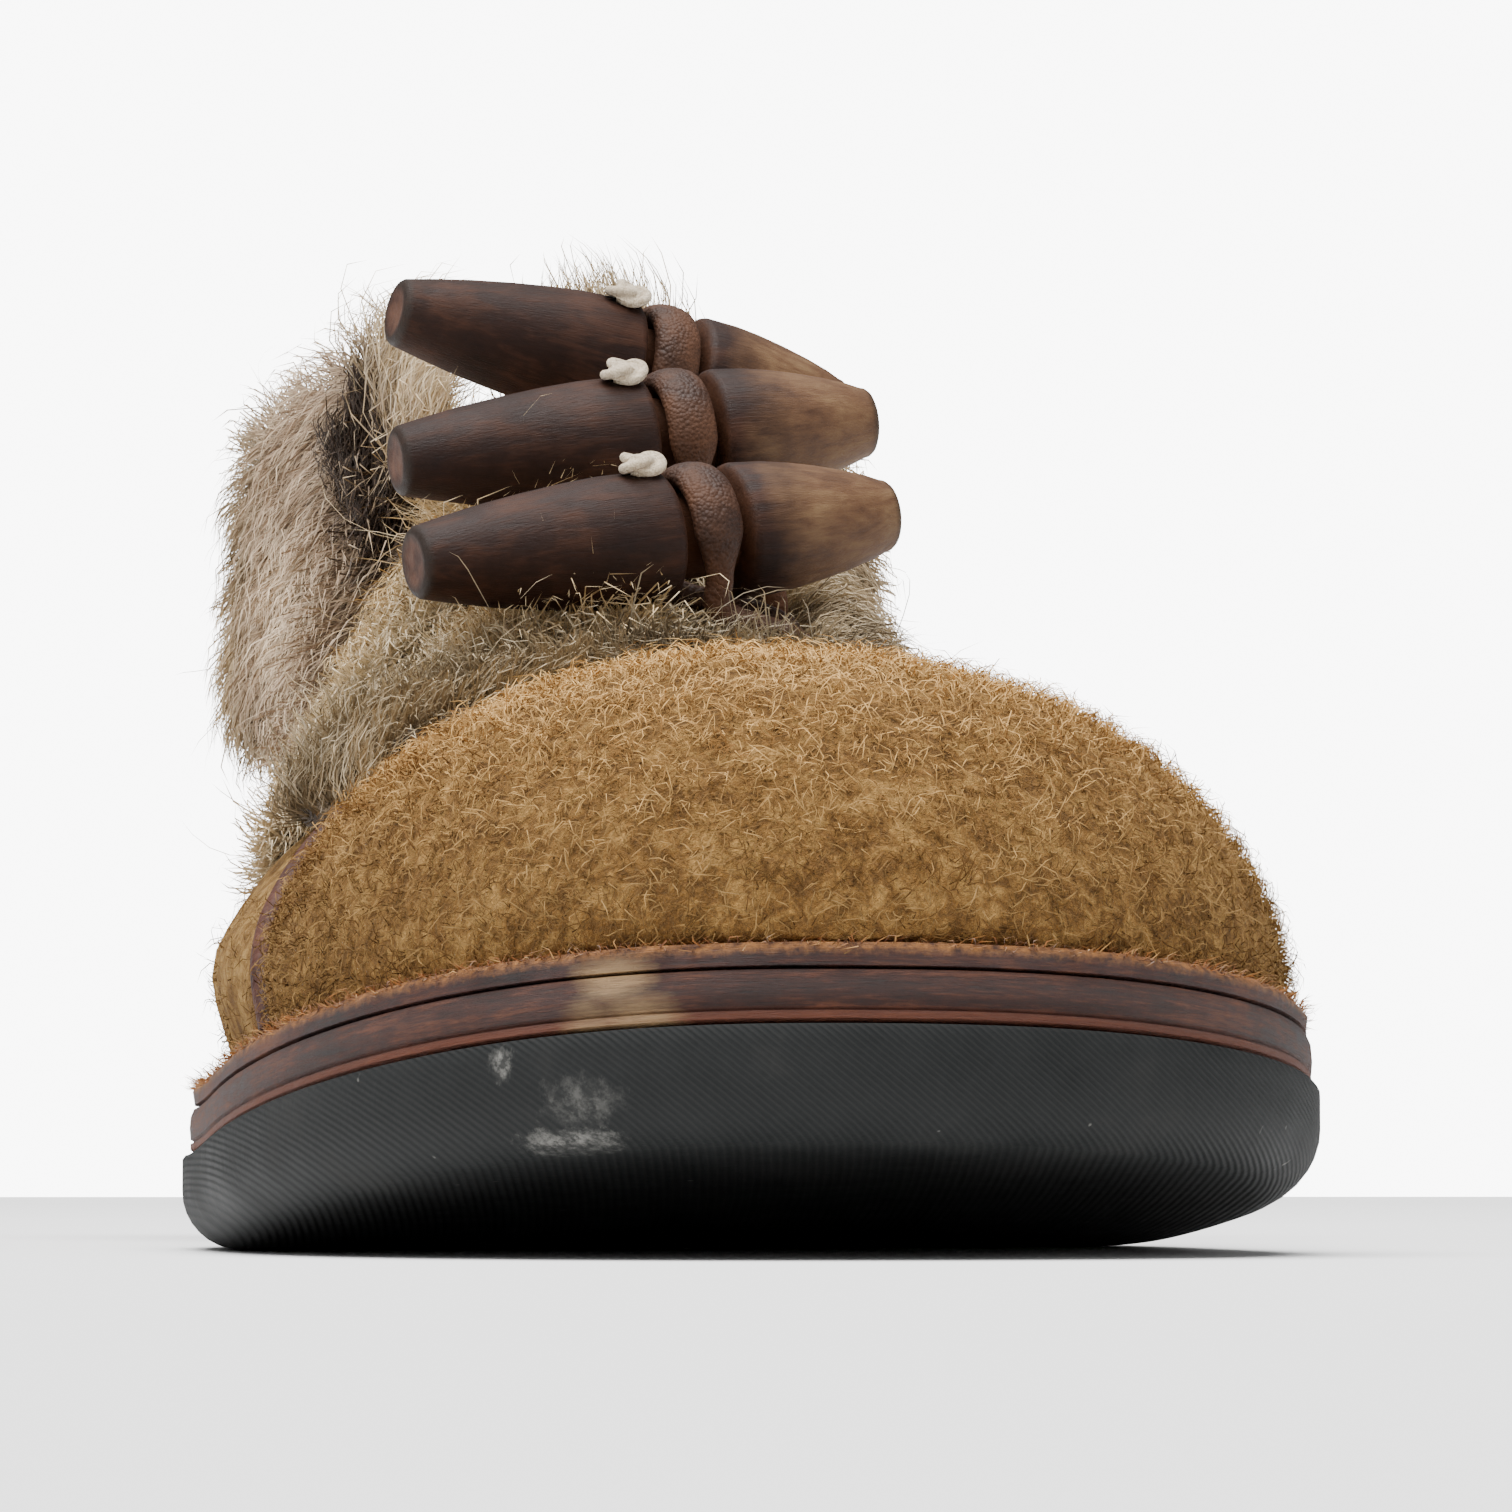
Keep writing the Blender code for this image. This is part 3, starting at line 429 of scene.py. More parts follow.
class Finish:
    """A material whose nodes are added one after another."""

    def __init__(self, name, gloss=0.5, **sockets):
        self.made = bpy.data.materials.new(name)
        self.made.use_nodes = True
        self.tree = self.made.node_tree
        self.shader = self.tree.nodes["Principled BSDF"]
        self.shader.inputs["Specular IOR Level"].default_value = gloss
        for socket, value in sockets.items():
            self.shader.inputs[socket.replace("_", " ").title()].default_value = value
        self.place = self.add("ShaderNodeTexCoord").outputs["Object"]

    def feed(self, node, key, value):
        if isinstance(value, bpy.types.NodeSocket):
            self.tree.links.new(value, node.inputs[key])
        else:
            node.inputs[key].default_value = value

    def add(self, kind, inputs=None, **settings):
        node = self.tree.nodes.new(kind)
        for name, value in settings.items():
            setattr(node, name, value)
        for key, value in (inputs or {}).items():
            self.feed(node, key, value)
        return node

    def wear(self, name):
        return self.add("ShaderNodeAttribute", attribute_name=name)

    def scaled(self, vector, scale, turn=(0.0, 0.0, 0.0)):
        inputs = {"Vector": vector, "Scale": scale, "Rotation": turn}
        return self.add("ShaderNodeMapping", inputs).outputs[0]

    def noise(self, vector, scale, detail=3.0, rough=0.55, twist=0.0):
        inputs = {"Vector": vector, "Scale": scale, "Detail": detail, "Roughness": rough}
        inputs["Distortion"] = twist
        return self.add("ShaderNodeTexNoise", inputs).outputs[0]

    def waves(self, vector, scale, twist=0.0, detail=0.0):
        inputs = {"Vector": vector, "Scale": scale, "Distortion": twist, "Detail": detail}
        return self.add("ShaderNodeTexWave", inputs).outputs["Fac"]

    def combine(self, kind, first, second):
        return self.add("ShaderNodeMath", {0: first, 1: second}, operation=kind).outputs[0]

    def sum(self, first, second):
        return self.combine("ADD", first, second)

    def times(self, first, second):
        return self.combine("MULTIPLY", first, second)

    def weigh(self, *pairs):
        """Sum of values, each times its weight."""
        total = self.times(*pairs[0])
        for pair in pairs[1:]:
            total = self.sum(total, self.times(*pair))
        return total

    def vector(self, kind, *inputs):
        return self.add("ShaderNodeVectorMath", dict(enumerate(inputs)), operation=kind).outputs

    def fit(self, value, low, high, least=0.0, most=1.0):
        inputs = {0: value, 1: low, 2: high, 3: least, 4: most}
        return self.add("ShaderNodeMapRange", inputs).outputs[0]

    def ramp(self, value, *stops):
        node = self.add("ShaderNodeValToRGB", {0: value})
        elements = node.color_ramp.elements
        while len(elements) < len(stops):
            elements.new(0.5)
        for element, (place, colour) in zip(elements, stops):
            element.position = place
            element.color = (*colour, 1.0)
        return node.outputs[0]

    def blend(self, share, first, second, kind="MIX"):
        node = self.add("ShaderNodeMix", data_type="RGBA", blend_type=kind)
        self.feed(node, 0, share)
        for key, colour in ((6, first), (7, second)):
            self.feed(node, key, (*colour, 1.0) if isinstance(colour, tuple) else colour)
        return node.outputs[2]

    def rubbed(self, spots, ragged):
        """Blotches round spots, each a place, its reach each way and how worn it is.

        The ragged value draws their edges in and out.
        """
        most = 0.0
        for place, reach, amount in spots:
            off = self.vector("SUBTRACT", self.place, place)[0]
            off = self.vector("DIVIDE", off, reach)[0]
            far = self.vector("LENGTH", off)["Value"]
            far = self.sum(far, self.times(ragged, 3.0))
            most = self.combine("MAXIMUM", self.fit(far, 1.9, 2.9, amount, 0.0), most)
        return most

    def use(self, socket, value):
        self.tree.links.new(value, self.shader.inputs[socket])

    def bump(self, height, depth):
        inputs = {"Height": height, "Distance": depth, "Strength": 1.0}
        self.use("Normal", self.add("ShaderNodeBump", inputs).outputs[0])


def felt_finish(name, darkest, middle, lightest):
    """Thick needled felt, mottled and matt, its pits painted darker as shade."""
    f = Finish(name, 0.1, roughness=0.95, sheen_weight=0.1, sheen_roughness=0.6)
    f.shader.inputs["Sheen Tint"].default_value = (1.0, 0.75, 0.40, 1.0)
    cloud = f.noise(f.place, 170.0, 3.0)
    tufts = f.noise(f.place, 620.0, 4.0, 0.65, 0.8)
    # The colour follows the bump's tufts: the felt's own mottle, with painted shade darkening the
    # low pits.
    mottle_and_pit_shade = f.weigh((cloud, 0.35), (tufts, 0.65))
    f.use("Base Color", f.ramp(mottle_and_pit_shade, (0.40, darkest), (0.50, middle), (0.60, lightest)))
    f.bump(f.sum(tufts, f.noise(f.place, 1900.0, 3.0, 0.7, 1.0)), 0.0012)
    return f.made


def hair_finish(name, roughness, gloss, sheen):
    """Hair and fibres, coloured by the piece's own tint."""
    f = Finish(name, gloss, roughness=roughness, sheen_weight=sheen, sheen_roughness=0.5)
    tint = f.wear("tint").outputs["Color"]
    cloud = f.noise(f.place, 700.0, 2.0)
    shade = f.ramp(cloud, (0.3, (0.72, 0.72, 0.72)), (0.7, (1.0, 1.0, 1.0)))
    f.use("Base Color", f.blend(1.0, tint, shade, "MULTIPLY"))
    return f.made


def hide_finish():
    """Skin under the fur, dark where the hair is thin."""
    f = Finish("fur_hide", roughness=0.95)
    cloud = f.noise(f.place, 260.0, 4.0, 0.7, 0.8)
    f.use("Base Color", f.ramp(cloud, (0.36, (0.030, 0.020, 0.013)), (0.66, (0.20, 0.14, 0.08))))
    f.bump(f.noise(f.place, 900.0, 4.0, 0.7), 0.0012)
    return f.made


def rubber_finish():
    """Charcoal rubber with fine slanting ribs, dust and pale scuffs where it rubbed."""
    f = Finish("charcoal_rubber", 0.15, roughness=0.7)
    slant = f.scaled(f.place, (1.0, 1.0, 1.0), (0.0, math.radians(52.0), 0.0))
    ribs = f.waves(slant, 640.0, 0.5, 1.0)
    dust = f.noise(f.place, 55.0, 5.0, 0.65)
    grime = f.noise(f.place, 700.0, 4.0, 0.75)
    base = f.ramp(
        dust,
        (0.35, (0.006, 0.007, 0.007)),
        (0.55, (0.011, 0.012, 0.012)),
        (0.75, (0.021, 0.021, 0.020)),
    )
    crest = f.blend(f.fit(ribs, 0.5, 1.0, 0.0, 0.18), base, (0.040, 0.039, 0.037))
    streak = f.noise(f.scaled(f.place, (1.0, 1.0, 0.6)), 650.0, 6.0, 0.8)
    spots = (
        ((-0.0255, -0.1440, 0.0132), (0.0026, 0.0080, 0.0017), 0.16),
        ((-0.0265, -0.1430, 0.0098), (0.0038, 0.0080, 0.0010), 0.36),
        ((-0.0318, -0.1410, 0.0165), (0.0008, 0.0080, 0.0012), 0.40),
        ((-0.0078, -0.1480, 0.0055), (0.0022, 0.0120, 0.0009), 0.60),
    )
    scuff = f.times(f.rubbed(spots, streak), f.fit(grime, 0.42, 0.60, 0.15, 1.0))
    speck = f.fit(f.noise(f.place, 420.0, 2.0), 0.74, 0.80, 0.0, 0.5)
    pale = f.combine("MAXIMUM", scuff, speck)
    f.use("Base Color", f.blend(pale, crest, (0.36, 0.35, 0.32)))
    f.use("Roughness", f.fit(dust, 0.3, 0.7, 0.62, 0.85))
    f.bump(f.sum(ribs, f.times(grime, 0.8)), 0.00006)
    return f.made


def band_finish(name, colours, worn, raw_edge=None):
    """Leather edge with lines along it, waxed dark, rubbed pale in places and raw on top."""
    f = Finish(name, 0.35, roughness=0.6)
    x, y, _ = f.add("ShaderNodeSeparateXYZ", {0: f.place}).outputs
    rise = f.wear("rise").outputs["Fac"]
    stretched = f.add("ShaderNodeCombineXYZ", {0: x, 1: y, 2: f.times(rise, 14.0)}).outputs[0]
    lines = f.noise(stretched, 55.0, 7.0, 0.75, 0.3)
    fine = f.noise(stretched, 260.0, 5.0, 0.75)
    cloud = f.noise(f.place, 70.0, 4.0, 0.7)
    mixed = f.weigh((lines, 0.40), (fine, 0.32), (cloud, 0.28))
    colour = f.ramp(mixed, (0.40, colours[0]), (0.50, colours[1]), (0.60, colours[2]))
    low = f.fit(rise, OUTSOLE_THICKNESS + 0.0016, OUTSOLE_THICKNESS + 0.0009, 0.0, 0.55)
    colour = f.blend(low, colour, (0.170, 0.045, 0.018))
    spots = (
        ((-0.0250, -0.1445, 0.0190), (0.0020, 0.0050, 0.0022), 0.70),
        ((-0.0208, -0.1460, 0.0195), (0.0030, 0.0050, 0.0024), 0.85),
        ((-0.0228, -0.1450, 0.0238), (0.0026, 0.0050, 0.0020), 0.80),
    )
    torn = f.rubbed(spots, f.weigh((fine, 0.5), (cloud, 0.5)))
    torn = f.times(torn, f.fit(lines, 0.36, 0.56, 0.45, 1.0))
    colour = f.blend(torn, colour, worn)
    if raw_edge is not None:
        ragged = f.sum(rise, f.times(f.noise(f.place, 900.0, 4.0, 0.7), 0.0012))
        raw = f.fit(ragged, SEAT_RISE + 0.0014, SEAT_RISE + 0.0022)
        nap = f.noise(f.place, 800.0, 5.0, 0.75)
        colour = f.blend(raw, colour, f.ramp(nap, (0.36, raw_edge[0]), (0.64, raw_edge[1])))
    f.use("Base Color", colour)
    f.use("Roughness", f.fit(mixed, 0.3, 0.7, 0.48, 0.80))
    f.bump(f.sum(mixed, f.times(f.noise(stretched, 900.0, 3.0, 0.7), 0.25)), 0.0013)
    return f.made


def leather_finish(name, dark, light, grain=1500.0):
    """Grained leather, a little uneven in colour."""
    f = Finish(name, 0.25, roughness=0.6)
    cloud = f.noise(f.place, 180.0, 4.0, 0.6)
    cell = f.add("ShaderNodeTexVoronoi", {"Vector": f.place, "Scale": grain}).outputs["Distance"]
    f.use("Base Color", f.ramp(cloud, (0.35, dark), (0.68, light)))
    f.use("Roughness", f.fit(cloud, 0.3, 0.7, 0.55, 0.75))
    f.bump(f.sum(f.times(cell, -0.6), cloud), 0.00025)
    return f.made


def wood_finish():
    """Dark stained wood, lighter on the outer half past a band of painted shade on its shoulder
    by the waist, its ends brown with a dark rim.
    """
    f = Finish("stained_wood", 0.18, roughness=0.55)
    local = f.wear("turned").outputs["Vector"]
    grain = f.noise(f.scaled(local, (1.0, 8.0, 8.0)), 90.0, 5.0, 0.65, 0.5)
    pores = f.noise(f.scaled(local, (1.0, 14.0, 14.0)), 420.0, 3.0, 0.7)
    cloud = f.noise(local, 130.0, 3.0, 0.6)
    along = f.add("ShaderNodeSeparateXYZ", {0: local}).outputs[0]
    figure = f.weigh((grain, 0.5), (cloud, 0.5))
    dark = f.ramp(
        figure,
        (0.34, (0.009, 0.003, 0.002)),
        (0.50, (0.018, 0.006, 0.003)),
        (0.66, (0.048, 0.018, 0.009)),
    )
    pale = f.ramp(
        figure,
        (0.34, (0.044, 0.019, 0.010)),
        (0.50, (0.100, 0.050, 0.024)),
        (0.66, (0.165, 0.098, 0.048)),
    )
    # Out to 8.5 mm from the middle the outer half stays dark: painted shade on the outer cone's
    # shoulder; beyond it the outer half's own lighter wood.
    body = f.blend(f.fit(f.sum(along, f.times(cloud, 0.006)), 0.0085, 0.0150), dark, pale)
    worn = f.times(f.wear("waist").outputs["Fac"], f.fit(grain, 0.3, 0.6, 0.55, 1.0))
    body = f.blend(worn, body, (0.060, 0.023, 0.010))
    face = f.wear("face").outputs["Fac"]
    body = f.blend(f.fit(face, 0.0, 0.3, 0.0, 0.7), body, SOOT)
    cloud = f.noise(local, 500.0, 3.0)
    cut_end = f.ramp(cloud, (0.35, (0.040, 0.016, 0.010)), (0.65, (0.095, 0.045, 0.028)))
    f.use("Base Color", f.blend(f.fit(face, 0.45, 0.75), body, cut_end))
    f.use("Roughness", f.fit(grain, 0.3, 0.7, 0.48, 0.64))
    f.bump(f.sum(grain, pores), 0.00010)
    return f.made


def cord_finish():
    """Cream twisted thread."""
    f = Finish("cream_cord", roughness=0.8, sheen_weight=0.2)
    thread = f.noise(f.place, 2600.0, 3.0, 0.6, 1.2)
    f.use("Base Color", f.ramp(thread, (0.34, (0.40, 0.30, 0.19)), (0.62, (0.68, 0.57, 0.42))))
    f.bump(thread, 0.0003)
    return f.made


def floor_finish():
    """Pale studio floor."""
    f = Finish("pale_floor", roughness=0.7)
    cloud = f.noise(f.place, 3.0, 2.0)
    f.use("Base Color", f.ramp(cloud, (0.3, (0.92, 0.92, 0.92)), (0.7, (0.95, 0.95, 0.95))))
    return f.made


RUBBER = rubber_finish()
RUBBED_LEATHER = (0.380, 0.240, 0.115)
BAND = band_finish(
    "band_leather",
    ((0.011, 0.005, 0.004), (0.041, 0.013, 0.008), (0.125, 0.043, 0.021)),
    RUBBED_LEATHER,
)
STACK = band_finish(
    "stacked_leather",
    ((0.030, 0.012, 0.007), (0.110, 0.042, 0.020), (0.220, 0.100, 0.050)),
    (0.300, 0.180, 0.090),
)
SUEDE = band_finish(
    "raw_suede",
    ((0.011, 0.005, 0.004), (0.040, 0.012, 0.008), (0.115, 0.040, 0.019)),
    RUBBED_LEATHER,
    ((0.050, 0.018, 0.008), (0.330, 0.135, 0.035)),
)
FELT = felt_finish(
    "camel_felt", (0.120, 0.054, 0.014), (0.215, 0.105, 0.027), (0.370, 0.205, 0.062)
)
QUARTER = felt_finish(
    "tan_felt", (0.120, 0.056, 0.016), (0.230, 0.120, 0.034), (0.380, 0.225, 0.075)
)
LINING = felt_finish(
    "dark_lining", (0.050, 0.032, 0.020), (0.105, 0.068, 0.042), (0.190, 0.130, 0.080)
)
FIBRE = hair_finish("felt_fibre", 0.85, 0.1, 0.0)
HAIR = hair_finish("fur_hair", 0.55, 0.25, 0.0)
FRAY = hair_finish("suede_fray", 0.8, 0.15, 0.2)
HIDE = hide_finish()
SOCK = leather_finish("insole_leather", (0.24, 0.13, 0.065), (0.40, 0.25, 0.14))
PIPING = leather_finish("piping_leather", (0.022, 0.008, 0.006), (0.085, 0.030, 0.018))
THONG = leather_finish("tan_thong", (0.026, 0.010, 0.005), (0.085, 0.035, 0.016), 2400.0)
WOOD = wood_finish()
CORD = cord_finish()


def show(name, data):
    """An object made of some data, in the scene."""
    made = bpy.data.objects.new(name, data)
    bpy.context.scene.collection.objects.link(made)
    return made


def keep(name, data, materials, slot, *nodes):
    """Makes a piece of the shoe from a mesh; it stands for the solids named."""
    for used in materials:
        data.materials.append(used)
    made = show(name, data)
    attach(made, "root")
    if nodes:
        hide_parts(*nodes)


def close(mesh, name, smooth):
    """Turns a bmesh into a smooth mesh with its faces out."""
    bmesh.ops.remove_doubles(mesh, verts=mesh.verts, dist=1e-6)
    bmesh.ops.dissolve_degenerate(mesh, edges=mesh.edges, dist=1e-7)
    bmesh.ops.recalc_face_normals(mesh, faces=mesh.faces)
    data = bpy.data.meshes.new(name)
    mesh.to_mesh(data)
    mesh.free()
    data.shade_smooth()
    data.set_sharp_from_angle(angle=math.radians(smooth))
    return data


def bend_slab(name, place, across, along):
    """A unit slab bent to a place function of its width, length and depth shares."""
    mesh = bmesh.new()
    bmesh.ops.create_grid(mesh, x_segments=across, y_segments=along, size=0.5)
    raised = bmesh.ops.extrude_face_region(mesh, geom=mesh.faces[:], use_keep_orig=True)
    for part in raised["geom"]:
        if isinstance(part, bmesh.types.BMVert):
            part.co.z = 1.0
    shares = np.array([v.co for v in mesh.verts])
    spots = place(shares[:, 0] + 0.5, shares[:, 1] + 0.5, shares[:, 2])
    for vert, point in zip(mesh.verts, spots):
        vert.co = point
    return close(mesh, name, 60.0)


def sweep(mesh, points, half_width, radius, middle_way, sides=12):
    """Adds a cord or strip, its wide way set at the middle and carried both ways."""
    last = len(points) - 1
    ways = {}
    for order in (range(last // 2, -1, -1), range(last // 2, last + 1)):
        across = middle_way
        for i in order:
            along = (points[min(i + 1, last)] - points[max(i - 1, 0)]).normalized()
            across = (across - along * across.dot(along)).normalized()
            ways[i] = (across, along.cross(across))
    rings = []
    for i, point in enumerate(points):
        across, other = ways[i]
        wide = half_width(i / last)
        turns = [2 * math.pi * k / sides for k in range(sides)]
        ring = [point + across * math.cos(t) * wide + other * math.sin(t) * radius for t in turns]
        rings.append([mesh.verts.new(p) for p in ring])
    for low, high in zip(rings, rings[1:]):
        for k in range(sides):
            mesh.faces.new((low[k - 1], low[k], high[k], high[k - 1]))
    mesh.faces.new(rings[0])
    mesh.faces.new(rings[-1])


def smooth_path(points, count):
    """Curve through points, in even steps from one to the next."""
    ends = [points[0] * 2 - points[1], *points, points[-1] * 2 - points[-2]]
    path = []
    for i in range(count + 1):
        place = i / count * (len(points) - 1)
        k = min(int(place), len(points) - 2)
        t = place - k
        a, b, c, d = ends[k : k + 4]
        bent = (a * 2 - b * 5 + c * 4 - d) * t**2 + (b * 3 - a - c * 3 + d) * t**3
        path.append((b * 2 + (c - a) * t + bent) * 0.5)
    return path


def point_values(data, name, values):
    """Writes a value for each point, for the material to read."""
    layer = data.attributes.new(name, "FLOAT", "POINT")
    layer.data.foreach_set("value", np.asarray(values, dtype=np.float32))


def mesh_points(data):
    spots = np.empty(len(data.vertices) * 3)
    data.vertices.foreach_get("co", spots)
    return spots.reshape(-1, 3)


def climb(data):
    """Writes how high each point is over the sole's underside."""
    spots = mesh_points(data)
    point_values(data, "rise", spots[:, 2] - underside(spots[:, 0], spots[:, 1]))


SOLE_STATIONS = all_stations()


def sole_loop(mesh, inset, rise):
    """Closed loop round the sole, from the toe tip along the outer side and back."""
    places = [(1, s) for s in SOLE_STATIONS] + [(-1, s) for s in SOLE_STATIONS[-2:0:-1]]
    verts = []
    for side, station in places:
        inward = inset(station) if callable(inset) else inset
        height = rise(station) if callable(rise) else rise
        place = outline(station, side, inward)
        verts.append(mesh.verts.new((*place, underside(*place) + height)))
    return [mesh.edges.new((verts[i - 1], verts[i])) for i in range(len(verts))]


def bridge_layers(mesh, loops, strips, open_end=0):
    """Walls between loops; the first and last are filled with strips from side to side."""
    total = len(loops[0])
    mesh.verts.index_update()
    for below, above in zip(loops, loops[1:]):
        bmesh.ops.bridge_loops(mesh, edges=below + above)
    mesh.verts.ensure_lookup_table()
    for first in (0, total * (len(loops) - 1)):
        for i in range(strips):
            far = total - i - open_end
            corners = dict.fromkeys((i, i + 1, (far - 1) % total, far % total))
            mesh.faces.new([mesh.verts[first + j] for j in corners])


def layered_sole(name, layers):
    """Solid between loops of the sole's outline, each layer an inset and a rise."""
    mesh = bmesh.new()
    loops = [sole_loop(mesh, inset, rise) for inset, rise in layers]
    bridge_layers(mesh, loops, len(SOLE_STATIONS) - 1)
    return close(mesh, name, 50.0)


def outsole():
    """Rubber sole, its lower edge rolled in a quarter round that tightens at the heel."""
    roll = OUTSOLE_THICKNESS - OUTSOLE_WALL

    def rolled(turn):
        def radius(station):
            return mix(roll, HEEL_EDGE_ROUND, float(ease((station - FLEX_OUTER) / 0.2)))

        return (
            lambda s: radius(s) * (1 - math.sin(turn)),
            lambda s: radius(s) * (1 - math.cos(turn)),
        )

    layers = [rolled(math.pi / 2 * i / 8) for i in range(9)]
    layers += [
        (0.0, OUTSOLE_THICKNESS - 0.0016),
        (0.0, OUTSOLE_THICKNESS - 0.0004),
        (0.0003, OUTSOLE_THICKNESS),
    ]
    data = layered_sole("rubber_outsole", layers)
    climb(data)
    keep("rubber_outsole", data, [RUBBER], "rubber", "outsole")


def midsole():
    """Leather band with a scored line above its lower edge."""
    low = OUTSOLE_THICKNESS + GAP
    tall = MIDSOLE_THICKNESS - GAP
    # Rows of inset and share of the height; the fourth and fifth are the scored line
    profile = (
        (0.0004, 0.00),
        (0.0000, 0.05),
        (0.0000, 0.19),
        (0.0003, 0.22),
        (0.0003, 0.25),
        (0.0000, 0.29),
        (-0.0001, 0.55),
        (0.0000, 0.80),
        (0.0003, 0.96),
        (0.0006, 1.00),
    )
    layers = [(MIDSOLE_INSET + inward, low + tall * share) for inward, share in profile]
    data = layered_sole("leather_midsole", layers)
    climb(data)
    keep("leather_midsole", data, [BAND], "sole_leather", "midsole")


def welt():
    """Raw suede strip round the foot of the upper, its edge uneven."""
    mesh = bmesh.new()
    low, high = SEAT_RISE, SEAT_RISE + WELT_THICKNESS

    def inner(station):
        return feather_inset(station) - UPPER_WALL - GAP

    def ragged(station):
        return WELT_INSET + 0.00025 * math.sin(station * 410) * math.sin(station * 173)

    rows = (
        (WELT_INSET, low),
        (ragged, high - 0.0006),
        (lambda station: ragged(station) + 0.0005, high),
        (inner, high),
        (inner, low),
    )
    loops = [sole_loop(mesh, inset, rise) for inset, rise in rows]
    for i in range(len(loops)):
        bmesh.ops.bridge_loops(mesh, edges=loops[i - 1] + loops[i])
    data = close(mesh, "suede_welt", 40.0)
    climb(data)
    keep("suede_welt", data, [SUEDE], "welt_suede", "welt")


def heel_block(name, profile, finish, slot, node):
    """Part of the heel between heights; above the last one it follows the outsole."""
    mesh = bmesh.new()
    stations = [mix(HEEL_BREAST, 1.0, math.sin(math.pi / 2 * i / 30)) for i in range(31)]
    stations[-1] = 1.0
    loops = []
    for inward, height in profile:
        places = [outline(s, 1, HEEL_INSET + inward) for s in stations]
        places += [outline(s, -1, HEEL_INSET + inward) for s in stations[-2::-1]]
        points = [(p.x, p.y, min(height, underside(p.x, p.y) - GAP)) for p in places]
        verts = [mesh.verts.new(p) for p in points]
        loops.append([mesh.edges.new((verts[i - 1], verts[i])) for i in range(len(verts))])
    bridge_layers(mesh, loops, len(stations) - 1, 1)
    data = close(mesh, name, 40.0)
    climb(data)
    keep(name, data, [finish], slot, node)


def heels():
    """Rubber top piece and three leather lifts with grooves between them."""
    tread, bevel, lifts = 0.0007, 0.0003, 3
    cap = (
        (tread, 0.0),
        (0.0, tread),
        (0.0, HEEL_CAP_THICKNESS - bevel),
        (bevel, HEEL_CAP_THICKNESS),
    )
    heel_block("rubber_heel", cap, RUBBER, "rubber", "heel_cap")
    low = HEEL_CAP_THICKNESS + GAP
    lift = (HEEL_HEIGHT - low) / lifts
    stack = [(bevel, low)]
    for i in range(lifts):
        base = low + i * lift
        top = base + lift
        stack += [(0.0, base + bevel), (0.0, top - bevel), (0.00035, top - 0.00005)]
    heel_block("stacked_heel", stack, STACK, "sole_leather", "heel_stack")


def insole():
    """Leather sock inside the upper."""

    def edge(station):
        return feather_inset(station) + 2 * GAP

    layers = [
        (edge, SEAT_RISE),
        (edge, SEAT_RISE + INSOLE_THICKNESS * 0.7),
        (lambda s: edge(s) + 0.0008, SEAT_RISE + INSOLE_THICKNESS),
    ]
    data = layered_sole("leather_insole", layers)
    keep("leather_insole", data, [SOCK], "insole_leather", "insole")


def crease(station, girth):
    """Depth of the walking creases: troughs across the vamp and down the quarters."""
    deep = np.zeros(np.shape(station))
    for middle, slant, width, depth in CREASES:
        off = (station - middle - slant * (np.abs(girth) - 0.7)) / width
        deep = deep + depth * np.exp(-off * off) * ease((np.abs(girth) - 0.35) / 0.3)
    return deep


def upper():
    """Hollow felt upper with a lining inside and soft walking creases."""
    mesh = bmesh.new()
    stations = np.array(all_stations(24, 80, 16))
    steps, rows = len(stations) - 1, 28
    flat = mesh.verts.layers.float_vector.new("flat")
    for side in (-1, 1):
        known = set(mesh.verts)
        bmesh.ops.create_grid(mesh, x_segments=steps, y_segments=rows, size=0.5)
        edges = upper_edge(stations, side)
        fresh = [v for v in mesh.verts if v not in known]
        column = np.array([round((v.co.x + 0.5) * steps) for v in fresh])
        share = np.array([v.co.y + 0.5 for v in fresh])
        girth = side * (1 - share * edges[column])
        spots = read_net(LAST, stations[column], girth)
        for vert, point, s, g in zip(fresh, spots, stations[column], girth):
            vert.co = point
            vert[flat] = (s, g, 0.0)
    bmesh.ops.remove_doubles(mesh, verts=mesh.verts, dist=1e-6)
    for face in mesh.faces:
        face.material_index = 1
    raised = bmesh.ops.extrude_face_region(mesh, geom=mesh.faces[:], use_keep_orig=True)
    outer = [p for p in raised["geom"] if isinstance(p, bmesh.types.BMVert)]
    s = np.array([v[flat][0] for v in outer])
    g = np.array([v[flat][1] for v in outer])
    spots = on_last(s, g, UPPER_WALL - crease(s, g))
    for vert, point in zip(outer, spots):
        vert.co = point
    for part in raised["geom"]:
        if isinstance(part, bmesh.types.BMFace):
            part.material_index = 0
    data = close(mesh, "felt_upper", 60.0)
    keep("felt_upper", data, [QUARTER, LINING], "panel_suede", "upper")


def cap_place(across, along, depth):
    """Place on the felt cap, its surface lumpy and turned down at the edges."""
    girth = mix(-1.0, 1.0, across)
    station = cap_end(girth) * (1 - np.cos(math.pi / 2 * along))
    point = on_last(station, girth, CAP_LIFT + depth * CAP_THICKNESS, WELT_THICKNESS + GAP)
    lumps = patches(point, 0.0022, 3.0) + 0.6 * patches(point, 0.0010, 5.0) - 0.8
    edge = np.minimum(np.minimum(across, 1 - across) * 14, (1 - along) * 10)
    normal = read_net(NORMALS, np.asarray(station, float), np.asarray(girth, float))
    swell = depth * (0.00022 * lumps - 0.0008 * np.clip(1 - edge, 0, 1) ** 2)
    return point + normal * np.asarray(swell)[..., None]


